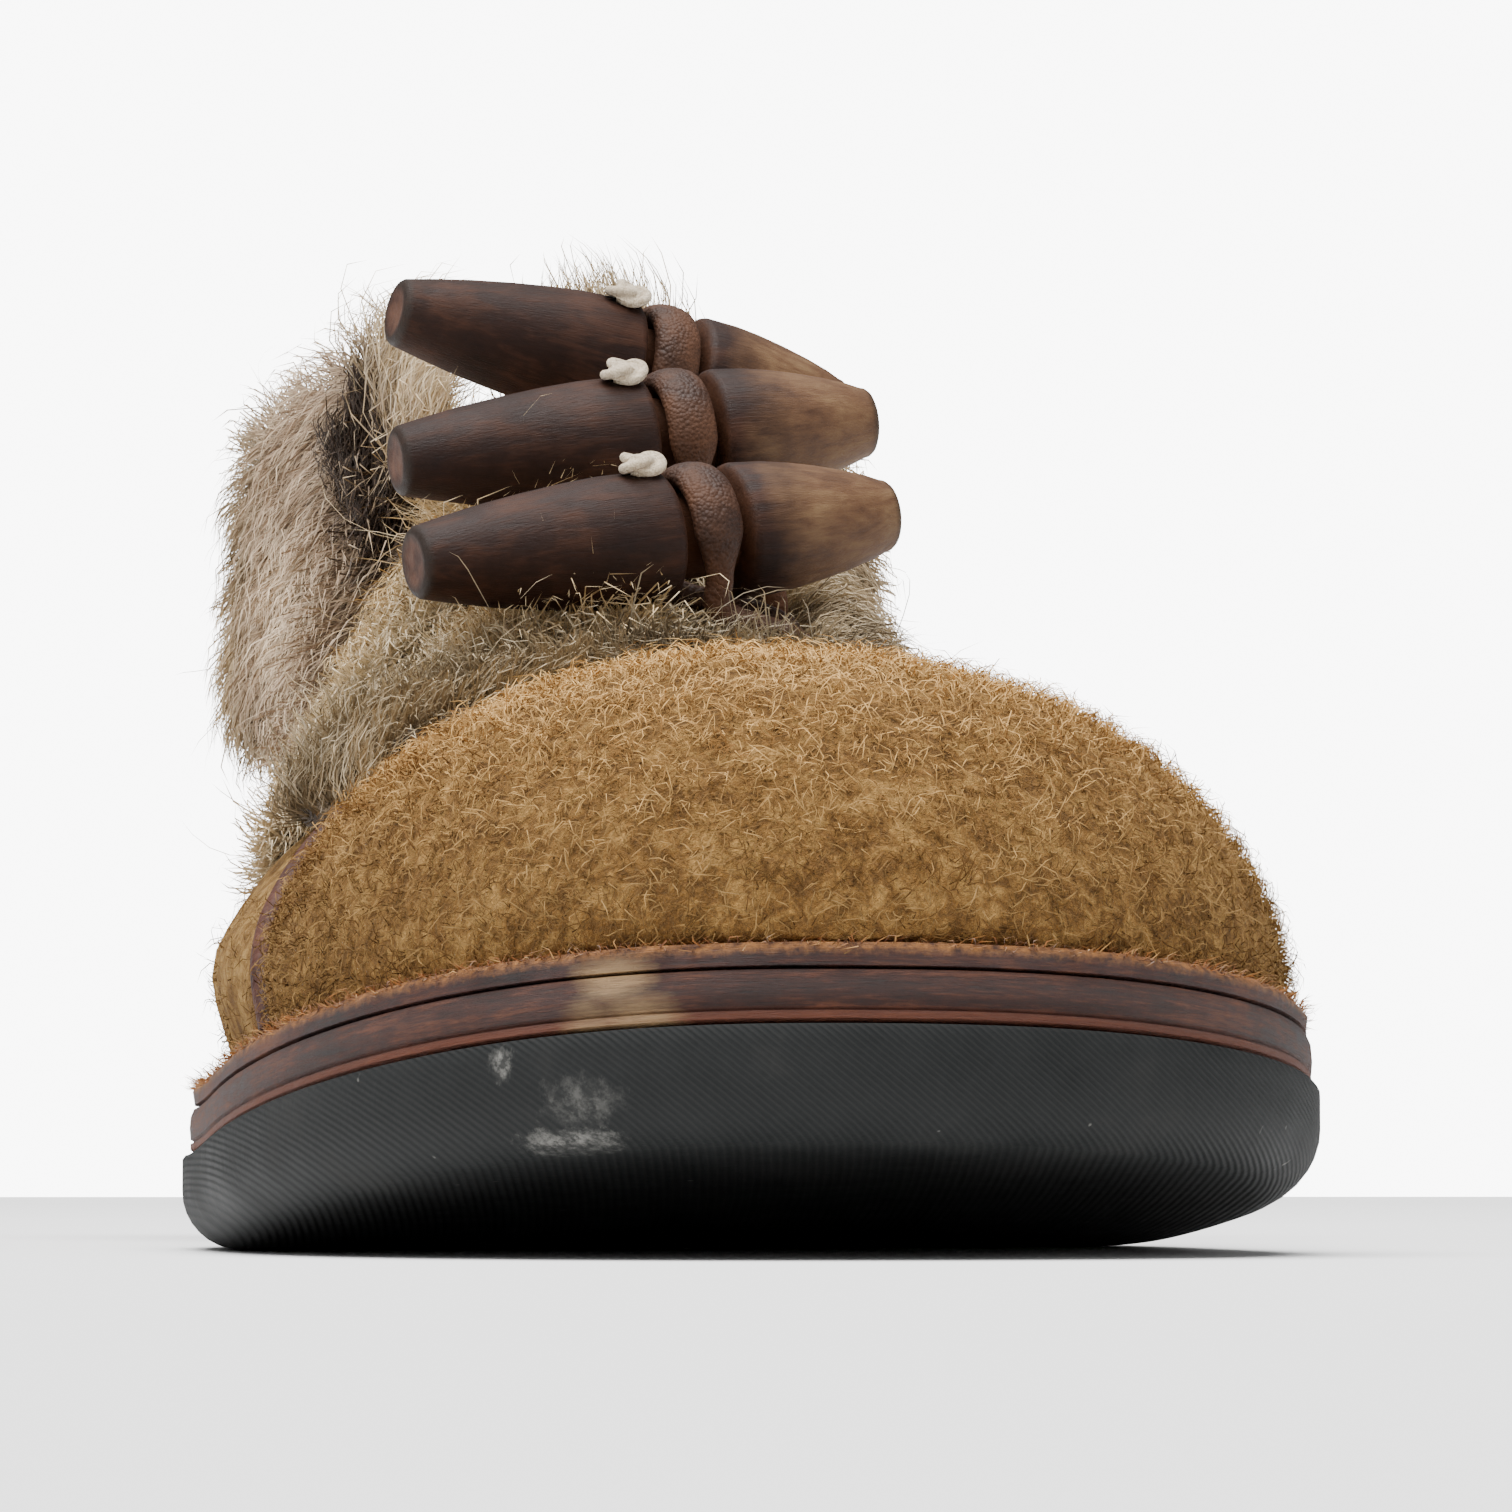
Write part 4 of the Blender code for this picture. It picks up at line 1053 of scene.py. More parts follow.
def fur_depth(across, along, lock_rows, lock_columns):
    """Share of the fur's thickness: locks in staggered rows, thinner at the rim."""
    row = along * lock_rows
    column = across * lock_columns + 0.5 * (np.floor(row) % 2)
    wedge = 0.5 - 0.5 * np.cos(2 * math.pi * np.sqrt(np.clip(row % 1, 0, 1)))
    crest = 0.5 - 0.5 * np.cos(2 * math.pi * (column % 1))
    rim = np.minimum(np.minimum(across, 1 - across), np.minimum(along, 1 - along))
    return mix(0.40, 1.0, ease(rim * 9)) * mix(0.72, 0.86, wedge * crest)


def fur_lift(across, along, depth, lock_rows, lock_columns):
    """Height of a fur piece over the last."""
    return FUR_LIFT + depth * FUR_THICKNESS * fur_depth(across, along, lock_rows, lock_columns)


def vamp_place(across, along, depth):
    girth = mix(-VAMP_LOW_INNER, VAMP_LOW, across)
    start = cap_end(girth) + GAP / SHOE_LENGTH
    end = VAMP_END + STRAP_SLANT * np.maximum(0.0, -girth)
    return on_last(mix(start, end, along), girth, fur_lift(across, along, depth, 3, 14))


def strap_place(number):
    middle = STRAP_STATIONS[number]
    low = STRAP_LOW[number]

    def place(across, along, depth):
        girth = mix(low, STRAP_TIP, along)
        tip = np.sqrt(np.maximum(0.0, 1 - np.maximum(0.0, along * 6 - 5) ** 2))
        width = STRAP_WIDTH * mix(0.35, 1.0, tip) / SHOE_LENGTH
        station = middle + STRAP_SLANT * np.maximum(0.0, -girth) + (across - 0.5) * width
        return on_last(station, girth, fur_lift(across, along, depth, 9, 4))

    return place


def lateral_place(across, along, depth):
    low = mix(VAMP_LOW, FUR_LOW, np.minimum(1.0, along * 3))
    girth = mix(FUR_INNER_EDGE, low, across)
    station = mix(FUR_START, FUR_END, along)
    return on_last(station, girth, fur_lift(across, along, depth, 8, 5))


COLLAR_STATIONS = np.array([s for s in all_stations(11, 60, 18) if s > COLLAR_FUR_START])
COLLAR_TOPS = {side: 1 - upper_edge(COLLAR_STATIONS, side) for side in (-1, 1)}


def collar_place(across, along, depth):
    """Runs from the outer front round the heel to the inner front."""
    across, along = np.asarray(across, float), np.asarray(along, float)
    side = np.where(along < 0.5, 1.0, -1.0)
    count = len(COLLAR_STATIONS) - 1
    index = (1 - np.abs(2 * along - 1)) * count
    station = np.interp(index, np.arange(count + 1), COLLAR_STATIONS)
    tops = [np.interp(station, COLLAR_STATIONS, COLLAR_TOPS[s]) for s in (1, -1)]
    top = np.where(side > 0, tops[0], tops[1])
    girth = mix(mix(top, 1.0, COLLAR_FUR_DEPTH), top + 0.004, across)
    thickness = COLLAR_FUR_THICKNESS * fur_depth(across, along, 13, 4)
    return on_last(station, side * girth, FUR_LIFT + GAP + depth * thickness)


def tongue_place(across, along, depth):
    station = mix(TONGUE_START, TONGUE_END, along)
    girth = mix(-TONGUE_WIDTH, TONGUE_WIDTH, across)
    return on_last(station, girth, -2 * GAP - TONGUE_THICKNESS * (1 - depth))


def sow(place, count, seed, columns=60, rows=60):
    """Roots spread evenly over the top of a piece, with the piece's own directions there."""
    draw = np.random.default_rng(seed)
    u, v = np.meshgrid(np.linspace(0, 1, columns + 1), np.linspace(0, 1, rows + 1))
    net = place(u, v, np.ones_like(u))
    wide, long = net[:-1, 1:] - net[:-1, :-1], net[1:, :-1] - net[:-1, :-1]
    area = np.linalg.norm(np.cross(wide, long), axis=2).ravel()
    cell = draw.choice(len(area), count, p=area / area.sum())
    p, q = draw.random(count), draw.random(count)
    i, j = np.divmod(cell, columns)
    corner = [net[i + a, j + b] for a, b in ((0, 0), (0, 1), (1, 0), (1, 1))]
    p1, q1 = p[:, None], q[:, None]
    near = corner[0] * (1 - p1) + corner[1] * p1
    far = corner[2] * (1 - p1) + corner[3] * p1
    root = near * (1 - q1) + far * q1
    across = unit(corner[1] - corner[0] + corner[3] - corner[2])
    along = unit(corner[2] - corner[0] + corner[3] - corner[1])
    normal = unit(np.cross(across, along))
    inside = (0.0, 0.02, 0.02)
    out = np.sign((normal * (root - inside)).sum(axis=1, keepdims=True))
    return {
        "root": root,
        "across": across,
        "along": along,
        "normal": normal * np.where(out == 0, 1, out),
        "u": (j + p) / columns,
        "v": (i + q) / rows,
        "draw": draw,
    }


def grow(bed, length, flow, stand, curl, width, gather=0.0, lock=0.0022, steps=4, sink=0.0012):
    """Curves of hairs from their roots: how they flow, stand, curl and gather in locks."""
    draw, root, normal = bed["draw"], bed["root"], bed["normal"]
    count = len(root)
    flow = unit(flow - normal * (flow * normal).sum(axis=1, keepdims=True))
    side = np.cross(normal, flow)
    turn = draw.normal(0, 0.35, count)[:, None]
    flow = unit(flow * np.cos(turn) + side * np.sin(turn))
    side = np.cross(normal, flow)
    long = (np.broadcast_to(length, (count,)) * draw.uniform(0.65, 1.15, count))[:, None]
    tall = np.broadcast_to(stand, (count,))[:, None] * draw.uniform(0.7, 1.3, count)[:, None]
    phase = draw.uniform(0, 2 * math.pi, count)[:, None]
    bow = (curl * draw.uniform(0.4, 1.4, count))[:, None]
    lines = []
    for t in np.linspace(0, 1, steps):
        up = tall * (t - 0.42 * t * t)
        out = 0.45 * t + 0.55 * t * t
        wave = bow * (np.sin(phase + 3.4 * t) - np.sin(phase))
        lift = bow * (np.cos(phase + 3.0 * t) - np.cos(phase)) * 0.6
        way = normal * (up + lift) + flow * out * (1 - 0.25 * tall) + side * wave
        lines.append(root - normal * sink + way * long)
    lines = np.stack(lines, axis=1)
    if gather:
        cell = np.floor(root / lock + np.sin(root[:, ::-1] / lock * 0.7))
        _, group = np.unique((cell * CELL_KEYS).sum(axis=1), return_inverse=True)
        total = np.bincount(group)
        for k in range(1, steps):
            share = gather * (k / (steps - 1)) ** 1.3
            middle = [np.bincount(group, lines[:, k, axis]) / total for axis in range(3)]
            lines[:, k] = mix(lines[:, k], np.stack(middle, axis=1)[group], share)
    bed["lines"], bed["wide"] = lines, np.broadcast_to(width, (count,))


def weave(name, bed, finish, slot):
    """Joins hairs into one mesh: flat tapered blades, each a few faces, with their tint."""
    lines, tint, wide = bed["lines"], bed["tint"], bed["wide"]
    count, steps = lines.shape[:2]
    draw = np.random.default_rng(7)
    lean = bed["normal"] + draw.normal(0, 0.55, (count, 3))
    spots, tints = [], []
    for k in range(steps):
        ahead = lines[:, min(k + 1, steps - 1)] - lines[:, max(k - 1, 0)]
        flat = np.cross(ahead, lean)
        flat /= np.linalg.norm(flat, axis=1, keepdims=True) + 1e-12
        half = (wide * 0.5 * (1 - 0.55 * (k / (steps - 1)) ** 2))[:, None]
        if k < steps - 1:
            spots += [lines[:, k] - flat * half, lines[:, k] + flat * half]
            tints += [tint[:, k], tint[:, k]]
        else:
            spots.append(lines[:, k])
            tints.append(tint[:, k])
    each = 2 * (steps - 1) + 1
    spots = np.stack(spots, axis=1).reshape(-1, 3)
    tints = np.stack(tints, axis=1).reshape(-1, 3)
    blade = []
    for a in range(0, 2 * steps - 4, 2):
        blade += [(a, a + 1, a + 3), (a, a + 3, a + 2)]
    blade.append((each - 3, each - 2, each - 1))
    faces = (np.arange(count)[:, None, None] * each + np.array(blade)[None]).reshape(-1, 3)
    data = bpy.data.meshes.new(name)
    data.vertices.add(len(spots))
    data.vertices.foreach_set("co", spots.ravel())
    data.loops.add(faces.size)
    data.loops.foreach_set("vertex_index", faces.ravel().astype(np.int32))
    data.polygons.add(len(faces))
    data.polygons.foreach_set("loop_start", np.arange(0, faces.size, 3, dtype=np.int32))
    data.update(calc_edges=True)
    data.shade_smooth()
    layer = data.attributes.new("tint", "FLOAT_COLOR", "POINT")
    full = np.concatenate([tints, np.ones((len(tints), 1))], axis=1)
    layer.data.foreach_set("color", full.ravel().astype(np.float32))
    keep(name, data, [finish], slot)


def tinted(*pairs):
    """Mixes colours by shares, each pair a colour and how much of it each hair takes."""
    total = sum(np.atleast_1d(share)[:, None] * np.array(colour) for colour, share in pairs)
    return total / sum(np.atleast_1d(share) for _, share in pairs)[:, None]


def tint_hairs(bed, base, root_dark, tip, tip_share):
    """Colours each hair, darker at its root and towards a tip colour at its end."""
    steps = bed["lines"].shape[1]
    rows = []
    for t in np.linspace(0, 1, steps):
        row = base * mix(root_dark, 1.0, min(1.0, t * 1.8))
        share = np.broadcast_to(tip_share, (len(base),)) * max(0.0, t * 2 - 1)
        rows.append(mix(row, np.array(tip), share[:, None]))
    bed["tint"] = np.clip(np.stack(rows, axis=1), 0.0, 1.0)


def dapple(points, size, seed, low=0.35, high=0.65):
    """Blotches with firmer edges."""
    return ease((patches(points, size, seed) - low) / (high - low))


def felt_hairs(name, place, count, seed, length, slot):
    """Short curled fibres standing off a felt, in bright tufts over dark pits partly of painted
    shade, lighter higher up and pale on the crown as painted light from above.
    """
    bed = sow(place, count, seed, 90, 60)
    draw = bed["draw"]
    spread = [bed[way] * draw.normal(0, 1, count)[:, None] for way in ("across", "along")]
    grow(bed, length, spread[0] + spread[1], 0.50, 0.50, FIBRE_WIDTH, 0.25, 0.0011, sink=0.0003)
    luck = draw.random(count)
    cloud = dapple(bed["root"], 0.0050, seed)
    # The tuft blotches mix the fibres' own colours with painted shade in the pits between tufts.
    tuft = dapple(bed["root"], 0.00072, seed + 2, 0.36, 0.64)
    base = tinted(
        (CAMEL, 0.9),
        (OLIVE, 1.2 * (1 - tuft) + 0.3 * (1 - cloud)),
        (SAND, 1.2 * tuft + 0.3 * cloud + 1.2 * (luck > 0.90)),
        (RUST, (luck > 0.40) & (luck < 0.50)),
    )
    # Painted light from above: fibres darker low on the shoe, lighter higher up, turning pale
    # sand on the crown.
    height = bed["root"][:, 2]
    painted_top_light = ease((height - 0.026) / 0.034)
    base = base * (mix(0.82, 1.06, tuft) * mix(0.42, 1.45, painted_top_light))[:, None]
    crown = 0.72 * ease((height - 0.042) / 0.014)[:, None]
    base = mix(base, np.array(SAND) * mix(0.95, 1.30, tuft)[:, None], crown)
    tint_hairs(bed, base, 0.62, SAND, 0.30 * tuft * painted_top_light)
    weave(name, bed, FIBRE, slot)


def toe_cap():
    """Thick felt cap with its fibres."""
    data = bend_slab("felt_toe_cap", cap_place, 110, 60)
    keep("felt_toe_cap", data, [FELT], "felt", "toe_cap")
    felt_hairs("toe_cap_fibres", cap_place, 36000, 11, 0.0024, "felt")


def quarter_felt():
    """Fibres on the felt of the quarters, below the fur."""

    def place(across, along, depth):
        side = np.where(along < 0.5, 1.0, -1.0)
        station = mix(0.20, 0.985, 1 - np.abs(2 * along - 1))
        girth = mix(0.985, 0.66, across)
        return on_last(station, side * girth, UPPER_WALL - crease(station, girth))

    felt_hairs("quarter_fibres", place, 11500, 12, 0.0022, "panel_suede")


def pressed(lines):
    """Hairs pushed aside where a toggle lies on them."""
    clear = 0.0004
    rows = (-TOGGLE_INNER_LENGTH, -WAIST_LENGTH / 2, WAIST_LENGTH / 2, TOGGLE_OUTER_LENGTH)
    radii = (TOGGLE_END_RADIUS, TOGGLE_RADIUS, TOGGLE_RADIUS, TOGGLE_END_RADIUS)
    for number in range(len(TOGGLES)):
        there = np.array(toggle_frame(number))
        local = (lines - there[:3, 3]) @ there[:3, :3]
        x, y, z = local[..., 0], local[..., 1], np.minimum(local[..., 2], 0.0)
        radius = np.interp(x, rows, radii) + clear
        beside = (x > rows[0] - clear) & (x < rows[-1] + clear)
        inside = beside & (np.hypot(y, local[..., 2]) < radius)
        reach = radius / (np.hypot(y, z) + 1e-9)
        aside = np.stack((x, y * reach, z * reach), axis=-1)
        moved = np.where(inside[..., None], aside, local)
        lines = moved @ there[:3, :3].T + there[:3, 3]
    return lines


def pelt(name, node, place, across, along, beds):
    """Hide of a fur piece, the soft hair on it and the few longer hairs."""
    data = bend_slab(name + "_hide", place, across, along)
    keep(name + "_hide", data, [HIDE], "fur", node)
    for bed, suffix in zip(beds, ("_hair", "_long_hair")):
        bed["lines"] = pressed(bed["lines"])
        weave(name + suffix, bed, HAIR, "fur")


def vamp_fur():
    """Grizzled curly fur behind the cap, a few cream hairs standing at its back, the rest
    darkened towards the back edge as painted shade under the first toggle.
    """
    beds = []
    rows = ((15000, 21, 0.0070, 0.00018, 0.45, 4), (350, 22, 0.0090, *LONG_HAIR))
    for count, seed, length, wide, gather, steps in rows:
        bed = sow(vamp_place, count, seed)
        outward = bed["across"] * np.sign(bed["u"] - 0.5)[:, None]
        swirl = patches(bed["root"], 0.0045, 6.0)[:, None] - 0.5
        flow = -bed["along"] + outward * 0.35 + bed["across"] * swirl * 4.0
        front = ease(1 - bed["v"] * 4)
        luck = bed["draw"].random(count)
        upright = (luck > 0.93) & (bed["v"] > 0.35)
        long = length * mix(1.0, 0.55, front) * np.where(upright, 1.35, 1.0)
        stand = mix(1.0, 0.7, front) + 0.6 * upright
        grow(bed, long, flow, stand, np.where(upright, 0.08, 0.34), wide, gather, 0.0018, steps)
        cloud = dapple(bed["root"], 0.0030, 4.0)
        inner = ease((0.45 - bed["u"]) / 0.3)
        # Towards the back edge the hair turns soot: painted shade under the first toggle.
        base = tinted(
            (SLATE, 1.0 + 0.8 * cloud),
            (SOOT, 1.5 * (1 - cloud) + 2.6 * ease((bed["v"] - 0.45) / 0.35)),
            (FAWN, 0.4 + 0.9 * inner),
            (GOLD, 0.5 * inner * cloud),
            (CREAM, 0.7 * cloud * (luck > 0.5) + 2.0 * upright + 0.3 * inner),
        )
        tint_hairs(bed, base, 0.40, CREAM, 0.45 * luck)
        beds.append(bed)
    pelt("vamp_fur", "fur_vamp", vamp_place, 90, 24, beds)


def strap_fur(number):
    """Fur that rolls forward over a pale lip, stands under the toggle and is darkened behind as
    painted shade in the gap behind it.
    """
    place = strap_place(number)
    beds = []
    soft = (15500, 31 + number, 0.0068, 0.00019, 0.45, 4)
    rows = (soft, (300, 41 + number, 0.0090, *LONG_HAIR))
    for count, seed, length, wide, gather, steps in rows:
        bed = sow(place, count, seed)
        lip = ease((0.42 - bed["u"]) / 0.16)
        back = ease((bed["u"] - 0.66) / 0.14)
        low = ease((0.35 - bed["v"]) / 0.35)
        top = ease((bed["v"] - 0.42) / 0.15) * ease((0.86 - bed["v"]) / 0.10)
        flow = -bed["across"] * (0.75 - 1.1 * back)[:, None]
        flow = flow - bed["along"] * mix(0.8, 0.15, lip)[:, None]
        long = length * mix(1.0, 0.50, back) * mix(1.0, 1.15, lip)
        long = long * mix(1.0, 1.30 + 0.25 * number, top)
        stand = mix(0.75, 0.95, lip) + 0.55 * top
        grow(bed, long, flow, stand, 0.30, wide, gather, steps=steps, sink=0.0014)
        luck = bed["draw"].random(count)
        cloud = dapple(bed["root"], 0.0055, 5.0 + number)
        # Painted shade: towards the back the fawn and gold give way to umber and soot.
        outside_painted_shade = 1 - 0.85 * back
        pale = 2.2 * lip * (1 - 0.5 * top)
        base = tinted(
            (FAWN, (0.6 + 0.3 * cloud) * outside_painted_shade),
            (GOLD, (0.6 * cloud + 0.9 * top) * outside_painted_shade),
            (UMBER, (1 - cloud) * (1 - lip) + back),
            (SOOT, 0.7 * (1 - cloud) * (1 - lip) + 0.4 * (luck < 0.15) * (1 - lip) + 2.4 * back),
            (CREAM, pale + 0.5 * (luck > 0.8) * (1 - back) + 0.4 * low * (1 - back)),
        )
        tint_hairs(bed, base, 0.35, CREAM, 0.50 * luck * (0.5 + 0.5 * lip) * (1 - 0.9 * back))
        beds.append(bed)
    pelt(f"strap_{number + 1}_fur", f"strap_{number + 1}", place, 20, 72, beds)


def lateral_fur():
    """Grizzled fur that hangs down the outer side."""
    beds = []
    rows = ((14500, 51, 0.0076, 0.00021, 0.5, 4), (350, 52, 0.0100, *LONG_HAIR))
    for count, seed, length, wide, gather, steps in rows:
        bed = sow(lateral_place, count, seed)
        swirl = patches(bed["root"], 0.0060, 8.0)[:, None] - 0.5
        flow = bed["across"] * 0.7 - bed["along"] * 0.7 + bed["along"] * swirl * 2.0
        top = ease((0.2 - bed["u"]) / 0.2)
        grow(bed, length, flow, 0.8 + 0.25 * top, 0.30, wide, gather, steps=steps)
        luck = bed["draw"].random(count)
        cloud = dapple(bed["root"], 0.0050, 8.0)
        base = tinted(
            (SLATE, 0.9 * (1 - cloud) + 0.4),
            (FAWN, 0.9 * cloud + 0.4),
            (UMBER, 0.7 * (1 - cloud)),
            (SOOT, 0.6 * (luck < 0.25)),
            (CREAM, 0.8 * (luck > 0.8) + 0.4 * cloud),
        )
        tint_hairs(bed, base, 0.40, CREAM, 0.45 * luck)
        beds.append(bed)
    pelt("lateral_fur", "fur_lateral", lateral_place, 44, 66, beds)


def collar_fur():
    """Deep fur round the ankle, pale and blushed at the inner front, where it stands up; the
    blush is the fur's own pale colour brightened with painted backlight.
    """
    beds = []
    rows = ((25500, 61, 0.0080, 0.00022, 0.5, 4), (500, 62, 0.0100, *LONG_HAIR))
    for count, seed, length, wide, gather, steps in rows:
        bed = sow(collar_place, count, seed, 40, 120)
        rim = ease((bed["u"] - 0.80) / 0.15)
        inner = ease((bed["v"] - 0.74) / 0.12)
        front = ease((bed["v"] - 0.90) / 0.08)
        swirl = patches(bed["root"], 0.0075, 9.0)[:, None] - 0.5
        ahead = 0.25 * np.sign(0.5 - bed["v"]) * (1 - front) + 1.3 * front
        flow = -bed["across"] * (1 - 1.6 * rim)[:, None] + bed["along"] * ahead[:, None]
        flow = flow + bed["along"] * swirl * 1.6
        long = length * (1 + 0.40 * front + 0.25 * front * rim)
        grow(bed, long, flow, 0.75 + 0.40 * rim + 0.45 * front, 0.30, wide, gather, steps=steps)
        luck = bed["draw"].random(count)
        cloud = dapple(bed["root"], 0.0070, 9.0)
        dark = front * (1 - rim) * ease((bed["u"] - 0.58) / 0.10)
        # The pale blush at the inner front: the fur's own pale colour, brightened as painted
        # backlight.
        pale = 1.4 * inner * cloud + 2.2 * front * rim
        base = tinted(
            (FAWN, (0.8 + 0.5 * cloud) * (1 - dark)),
            (SLATE, 0.6 * (1 - cloud) * (1 - inner)),
            (UMBER, 0.8 * (1 - cloud) + dark),
            (SOOT, 0.4 * (1 - cloud) * inner + 0.25 * (luck < 0.15) + 3.0 * dark),
            (BLUSH, (1.0 + cloud) * inner * (1 - dark)),
            (GOLD, 1.8 * front * rim),
            (CREAM, 0.5 * (luck > 0.8) * (1 - dark) + pale * (1 - dark)),
        )
        tint_hairs(bed, base, 0.40, CREAM, 0.45 * luck * (1 - dark))
        beds.append(bed)
    pelt("collar_fur", "fur_collar", collar_place, 24, 140, beds)


def tongue():
    """Felt tongue with a tuft of fur standing at its top."""
    data = bend_slab("felt_tongue", tongue_place, 32, 48)
    keep("felt_tongue", data, [LINING], "lining_felt", "tongue")

    def place(across, along, depth):
        return tongue_place(mix(0.44, 0.60, across), mix(0.90, 0.99, along), depth)

    count = 1400
    bed = sow(place, count, 81, 20, 4)
    flow = bed["along"] + 0.3 * bed["normal"]
    grow(bed, 0.0158, flow, 1.55, 0.22, 0.00018, 0.5, TUFT_LOCK, steps=6)
    luck = bed["draw"].random(count)
    base = tinted((FAWN, 0.9), (SLATE, 1.2 * (luck < 0.6)), (CREAM, 0.7 * (luck > 0.75)))
    tint_hairs(bed, base, 0.45, CREAM, 0.35 * luck)
    weave("tongue_tuft_hair", bed, HAIR, "fur")


def collar_tuft():
    """Cream tuft that stands at the collar's inner front corner, brown-black under it."""

    def place(across, along, depth):
        return collar_place(mix(0.55, 1.0, across), mix(0.925, 0.990, along), depth)

    count = 4600
    bed = sow(place, count, 84, 12, 12)
    dark = ease((0.66 - bed["u"]) / 0.08)
    flow = bed["across"] + 0.5 * bed["along"]
    grow(bed, mix(0.0138, 0.0085, dark), flow, 1.25, 0.28, 0.00019, 0.5, TUFT_LOCK, steps=5)
    luck = bed["draw"].random(count)
    bright = (1 - dark) * (0.25 + 0.75 * ease((bed["u"] - 0.70) / 0.12))
    base = tinted(
        (CREAM, 1.6 * bright),
        (GOLD, 1.1 * (luck < 0.6) * bright),
        (BLUSH, 0.8 * (luck > 0.6) * bright),
        (UMBER, 1.1 - bright),
        (SOOT, 4.0 * dark),
    )
    tint_hairs(bed, base, 0.45, CREAM, 0.5 * luck * bright)
    weave("collar_tuft_hair", bed, HAIR, "fur")


def pipings():
    """Leather beads along both sides of the cap's back edge."""
    for name, side in (("piping_medial", -1), ("piping_lateral", 1)):
        lift = UPPER_WALL + GAP + PIPING_RADIUS
        behind = 1.5 * (PIPING_RADIUS + 2 * GAP) / SHOE_LENGTH
        girth = np.linspace(0.985, (VAMP_LOW_INNER if side < 0 else VAMP_LOW) + 0.02, 49)
        line = on_last(cap_end(girth) + behind, side * girth, lift, WELT_THICKNESS + GAP)
        mesh = bmesh.new()
        route = [Vector(point) for point in line]
        sweep(mesh, route, lambda share: PIPING_RADIUS, PIPING_RADIUS, Vector((side, 0, 0)))
        keep("leather_" + name, close(mesh, name, 60.0), [PIPING], "piping_leather", name)


def toggle_lift(number):
    """Height of a toggle's axis over the last."""
    rest = STRAP_TOP + GAP + KNOT_HEIGHT / 2 + GAP
    return rest + TOGGLE_RADIUS * (1 + TOGGLES[number][2])


def toggle_frame(number):
    """Matrix whose X runs along a toggle to its outer end and whose Z leaves the foot."""
    station, girth, _, yaw, roll = TOGGLES[number]
    up = Vector(read_net(NORMALS, np.array(station), np.array(0.0)))
    up.x = 0.0
    up.normalize()
    axis = Matrix.Rotation(math.radians(yaw), 3, up) @ Vector((1.0, 0.0, 0.0))
    axis = Matrix.Rotation(math.radians(roll), 3, up.cross(axis)) @ axis
    side = up.cross(axis).normalized()
    made = Matrix((axis, side, axis.cross(side))).transposed().to_4x4()
    made.translation = spot(station, girth, toggle_lift(number))
    return made


def spun(profile, steps):
    """Solid turned about X from rows of place and radius."""
    mesh = bmesh.new()
    verts = [mesh.verts.new((x, 0.0, r)) for x, r in profile]
    edges = [mesh.edges.new(pair) for pair in zip(verts, verts[1:])]
    whole = {"angle": 2 * math.pi, "steps": steps, "use_merge": True}
    bmesh.ops.spin(mesh, geom=verts + edges, axis=(1, 0, 0), cent=(0, 0, 0), **whole)
    return mesh


def tie_frame(number):
    """Matrix whose X runs up the hole for a toggle's tie."""
    upright = Matrix.Rotation(-math.pi / 2, 4, "Y")
    return toggle_frame(number) @ Matrix.Translation((-TIE_PLACE, 0.0, 0.0)) @ upright


